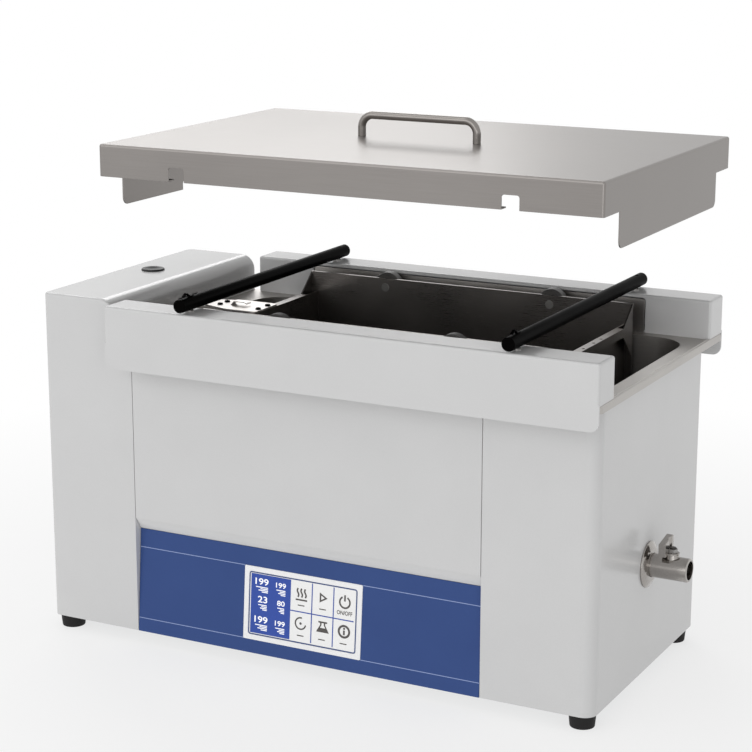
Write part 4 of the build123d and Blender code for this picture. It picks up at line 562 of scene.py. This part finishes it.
# Cast aluminium: light grey and a little grainy.
bare_aluminium = surface(
    "cast_aluminium", "A9ABAD", "BFC1C3", (0.35, 0.5), (1.5, 1.5, 1.5), 0.01, metallic=1.0
)
# Fired ceramic: dull buff.
fired_ceramic = surface("fired_ceramic", "A79C83", "B8AD94", (0.5, 0.65), (1, 1, 1), 0.01)
# Silicone rubber mat: brick red with the weave of its glass cloth.
heater_silicone = surface("silicone_heating_mat", "A3402A", "B24C33", (0.5, 0.6), (1.2, 1.2, 1.2), 0.02)
worked("tank", "housing", drawn_stainless, 0.3)
paint("drain_fitting", drawn_stainless)
paint("drain_pipe", drawn_stainless)
paint("transducer_cones", bare_aluminium)
paint("transducer_ceramics", fired_ceramic)
paint("transducer_back_masses", screw_steel)
paint("heating_mats", heater_silicone)

# Drain valve. A ball valve of nickel-plated brass comes through the right side: a dished rosette
# on the wall, the tube with its bore, and on top the boss, the pressed lever and its nut.

# Satin nickel: bright and smooth, warmer than steel.
satin_nickel = surface(
    "satin_nickel_on_brass", "9A9692", "AAA6A2", (0.14, 0.2), (2, 2, 2), 0.001, metallic=1.0
)
# The ball inside is painted dark as painted shade: it stands for the shadow deep in the bore, so the bore
# looks dark.
valve_ball_painted_bore_shade = surface("valve_ball_dark_as_painted_bore_shade", "2A2826", "3A3735", (0.35, 0.45), (2, 2, 2), 0.002, metallic=0.6)
worked("valve_body", "housing", satin_nickel, 0.15)
worked("valve_rosette", "housing", satin_nickel, 0.3)
# Painted shade: the ball's dark colour stands for the shadow inside the valve bore.
worked("valve_plug", "drain_valve", valve_ball_painted_bore_shade, 0.15)
worked("valve_lever", "drain_valve", satin_nickel, 0.4)
worked("lever_nut", "drain_valve", screw_steel, 0.3)

# Rails and roller tracks. Powder-coated box sections stand on the flange, front and rear; in the
# window of each sits a stainless track, brushed along its length, that the basket's wheels run on.

# Brushed stainless: fine lines along the piece that stretch every reflection across them.
brushed_stainless = surface(
    "brushed_stainless", "B4B0AD", "C4C0BC", (0.3, 0.4), (30, 0.35, 0.35), 0.003,
    cloud_mm=90, metallic=1.0,
)
for rail in ("front_rail", "rear_rail"):
    worked(rail, "housing", powder_coat, 0.5)
for track in ("front_roller_track", "rear_roller_track"):
    worked(track, "housing", brushed_stainless, 0.3)

# Cross bars. Solid 15 mm round steel, screwed down on the rails over thin washers; each has a cross
# hole near its rear end and a small bent spring clip near its front end.

# Black oxide, oiled: a deep black with hardly any shine.
black_oxide = surface(
    "black_oxided_steel", "020202", "050404", (0.34, 0.46), (0.5, 0.5, 0.5), 0.006,
    **{"Specular IOR Level": 0.015},
)
for bar in ("left_cross_bar", "right_cross_bar"):
    worked(bar, "housing", black_oxide, 0.25)
worked("bar_clips", "housing", black_oxide, 0.15)
paint("bar_screws", screw_steel)

# Drive in the tower. A geared motor hangs from a zinc-plated bracket, and its crank roller pushes
# a slotted plate to and fro on a straight guide. A dished cap closes the hole above it.

# Baked enamel on the motor: black with a soft shine.
motor_enamel = surface("baked_motor_enamel", "141516", "1E1F21", (0.35, 0.45), (1, 1, 1), 0.008)
# The cap is weathered nylon, a shade greyer than the other black parts.
dished_nylon = surface(
    "dished_grey_nylon", "19191A", "242425", (0.4, 0.5), (0.6, 0.6, 0.6), 0.01,
    **{"Specular IOR Level": 0.25},
)
paint("drive_motor", motor_enamel)
paint("gearbox", bare_aluminium)
paint("drive_frame", zinc_plate)
paint("guide_rail", screw_steel)
paint("guide_block", moulded_black)
paint("crank_disc", screw_steel)
paint("crank_roller", screw_steel)
worked("yoke_plate", "basket", bare_aluminium, 0.4)
worked("tower_plug", "housing", dished_nylon, 0.2)

# Basket. Folded from 1.5 mm stainless with a punched floor, hemmed top edges and inset end walls;
# it hangs on four nylon wheels on riveted axles, and a bolted plate and arm tie it to the drive.

# Basket sheet: stainless as rolled, with a faint lengthwise grain.
basket_stainless = surface(
    "rolled_basket_stainless", "7E7A77", "8C8885", (0.24, 0.34), (25, 0.5, 0.5), 0.003,
    cloud_mm=100, metallic=1.0,
)
# Wheel nylon: dark grey, dull where the wheel has run.
wheel_nylon = surface("moulded_wheel_nylon", "3B3A39", "474543", (0.42, 0.52), (0.8, 0.8, 0.8), 0.008)
worked("basket", "basket", basket_stainless, 0.25)
worked("roller_axles", "basket", screw_steel, 0.15)
worked("drive_bracket", "basket", brushed_stainless, 0.3)
worked("drive_arm", "basket", brushed_stainless, 0.4)
worked("drive_screws", "basket", black_oxide, 0.2)
for wheel in ("front_left", "front_right", "rear_left", "rear_right"):
    worked(f"roller_{wheel}", f"wheel_{wheel}", wheel_nylon, 0.3)

# Lid. A folded tray of 1.5 mm stainless with a turned-in lower edge, two end flaps and notches for
# the cross bars; the handle is a bent rod held by two screws and washers from inside.

# Lid sheet: brushed lengthwise, soft and silky, dull where it is looked at along the sheet.
lid_stainless = surface(
    "lid_brushed_stainless", "85817E", "8F8B88", (0.28, 0.36), (60, 0.4, 0.4), 0.002,
    cloud_mm=160, metallic=1.0, **{"Specular Tint": (0.9, 0.9, 0.9, 1.0)},
)
# Handle rod: drawn wire, a little darker and glossier than the sheet.
rod_stainless = surface(
    "bent_rod_stainless", "7E7A77", "8E8A86", (0.2, 0.28), (20, 0.4, 0.4), 0.002,
    cloud_mm=60, metallic=1.0,
)
worked("lid", "lid", lid_stainless, 0.3)
worked("lid_handle", "lid", rod_stainless, 0.2)
paint("handle_screws", screw_steel)

# Studio. White floor paper that keeps the soft shadow close to the body and is plain white further
# out, a white room for whatever looks at it, and soft boxes: key, low, top and back.
floor_half = 4.0
floor_mesh = bpy.data.meshes.new("studio_floor")
floor_corners = [(x * floor_half, y * floor_half, 0) for x, y in ((-1, -1), (1, -1), (1, 1), (-1, 1))]
floor_mesh.from_pydata(floor_corners, [], [(0, 1, 2, 3)])
floor = bpy.data.objects.new("studio_floor", floor_mesh)
bpy.context.scene.collection.objects.link(floor)


def shown_rays(tree):
    """One for rays from the camera and through or off glass and metal, nought for diffuse light."""
    path = add(tree, "ShaderNodeLightPath", {})
    seen = path.outputs["Is Camera Ray"]
    for kind in ("Is Glossy Ray", "Is Transmission Ray"):
        either = {0: seen, 1: path.outputs[kind]}
        seen = add(tree, "ShaderNodeMath", either, operation="MAXIMUM").outputs[0]
    return seen


# White paper: dull, and lit from below a little so that it stays white round the shadow.
floor_paper = bpy.data.materials.new("white_floor_paper")
floor_paper.use_nodes = True
paper_tree = floor_paper.node_tree
paper_tree.nodes.clear()
shadow_reach, white_from = 0.35, 1.2  # metres from the body's middle
spot = add(paper_tree, "ShaderNodeTexCoord", {}).outputs["Object"]
away = add(paper_tree, "ShaderNodeVectorMath", {0: spot}, operation="LENGTH").outputs["Value"]
glow_span = {0: away, 1: shadow_reach, 2: white_from, 3: 0.7, 4: 1.0}
glow_rise = add(paper_tree, "ShaderNodeMapRange", glow_span)
glow_seen = {0: glow_rise.outputs[0], 1: shown_rays(paper_tree)}
shown_glow = add(paper_tree, "ShaderNodeMath", glow_seen, operation="MULTIPLY").outputs[0]
lit_share = add(paper_tree, "ShaderNodeMath", {0: shown_glow, 1: 0.4}, operation="MAXIMUM").outputs[0]
matt = add(paper_tree, "ShaderNodeBsdfDiffuse", {"Color": (0.9, 0.9, 0.9, 1)})
glow = add(paper_tree, "ShaderNodeEmission", {"Color": (1, 1, 1, 1), "Strength": 1.0})
paper_mix = {0: lit_share, 1: matt.outputs[0], 2: glow.outputs[0]}
lit_paper = add(paper_tree, "ShaderNodeMixShader", paper_mix)
add(paper_tree, "ShaderNodeOutputMaterial", {"Surface": lit_paper.outputs[0]})
floor_mesh.materials.append(floor_paper)


def soft_box(name, place, target, width, height, radiance):
    """Rectangular area light of the given brightness that faces its target."""
    lamp = bpy.data.lights.new(name, "AREA")
    lamp.shape = "RECTANGLE"
    lamp.size = width
    lamp.size_y = height
    lamp.energy = radiance * math.pi * width * height
    shown = bpy.data.objects.new(name, lamp)
    shown.location = place
    shown.rotation_euler = (Vector(target) - Vector(place)).to_track_quat("-Z", "Y").to_euler()
    shown.visible_camera = False
    bpy.context.scene.collection.objects.link(shown)


body_middle = ((cad_low[0] + cad_high[0]) / 2, 0, 0.3)
soft_box("key_box", (-0.9, -3.3, 1.7), body_middle, 4.0, 2.4, 0.95)
soft_box("low_box", (1.7, -2.7, 0.6), body_middle, 1.8, 1.2, 1.4)
soft_box("top_box", (-1.2, -0.7, 2.8), body_middle, 1.6, 1.0, 0.9)
soft_box("back_box", (-2.5, 2.9, 2.5), (0, 0, 0.5), 2.8, 1.8, 2.8)

world = bpy.data.worlds.new("studio_air")
bpy.context.scene.world = world
world.use_nodes = True
air = world.node_tree
air.nodes.clear()
fill = add(air, "ShaderNodeBackground", {"Color": (1, 1, 1, 1), "Strength": 0.48})
paper = add(air, "ShaderNodeBackground", {"Color": (1, 1, 1, 1), "Strength": 1.0})
room = add(air, "ShaderNodeMixShader", {0: shown_rays(air), 1: fill.outputs[0], 2: paper.outputs[0]})
add(air, "ShaderNodeOutputWorld", {"Surface": room.outputs[0]})

# Camera. Placed by the straight edges in the picture: a 100 mm lens about 2.5 m from the body.
lens = bpy.data.cameras.new("photo_camera")
lens.lens = 100.0
lens.sensor_width = 36.0
camera = bpy.data.objects.new("photo_camera", lens)
bpy.context.scene.collection.objects.link(camera)
camera_right = Vector((0.88727, 0.46126, 0.00075))
camera_up = Vector((-0.11188, 0.21362, 0.97049))
camera_back = Vector((0.44748, -0.86117, 0.24114))
turned = Matrix((camera_right, camera_up, camera_back)).transposed()
camera.matrix_world = Matrix.Translation((1.06128, -2.07499, 0.89503)) @ turned.to_4x4()
bpy.context.scene.camera = camera
bpy.context.scene.view_settings.view_transform = "Standard"
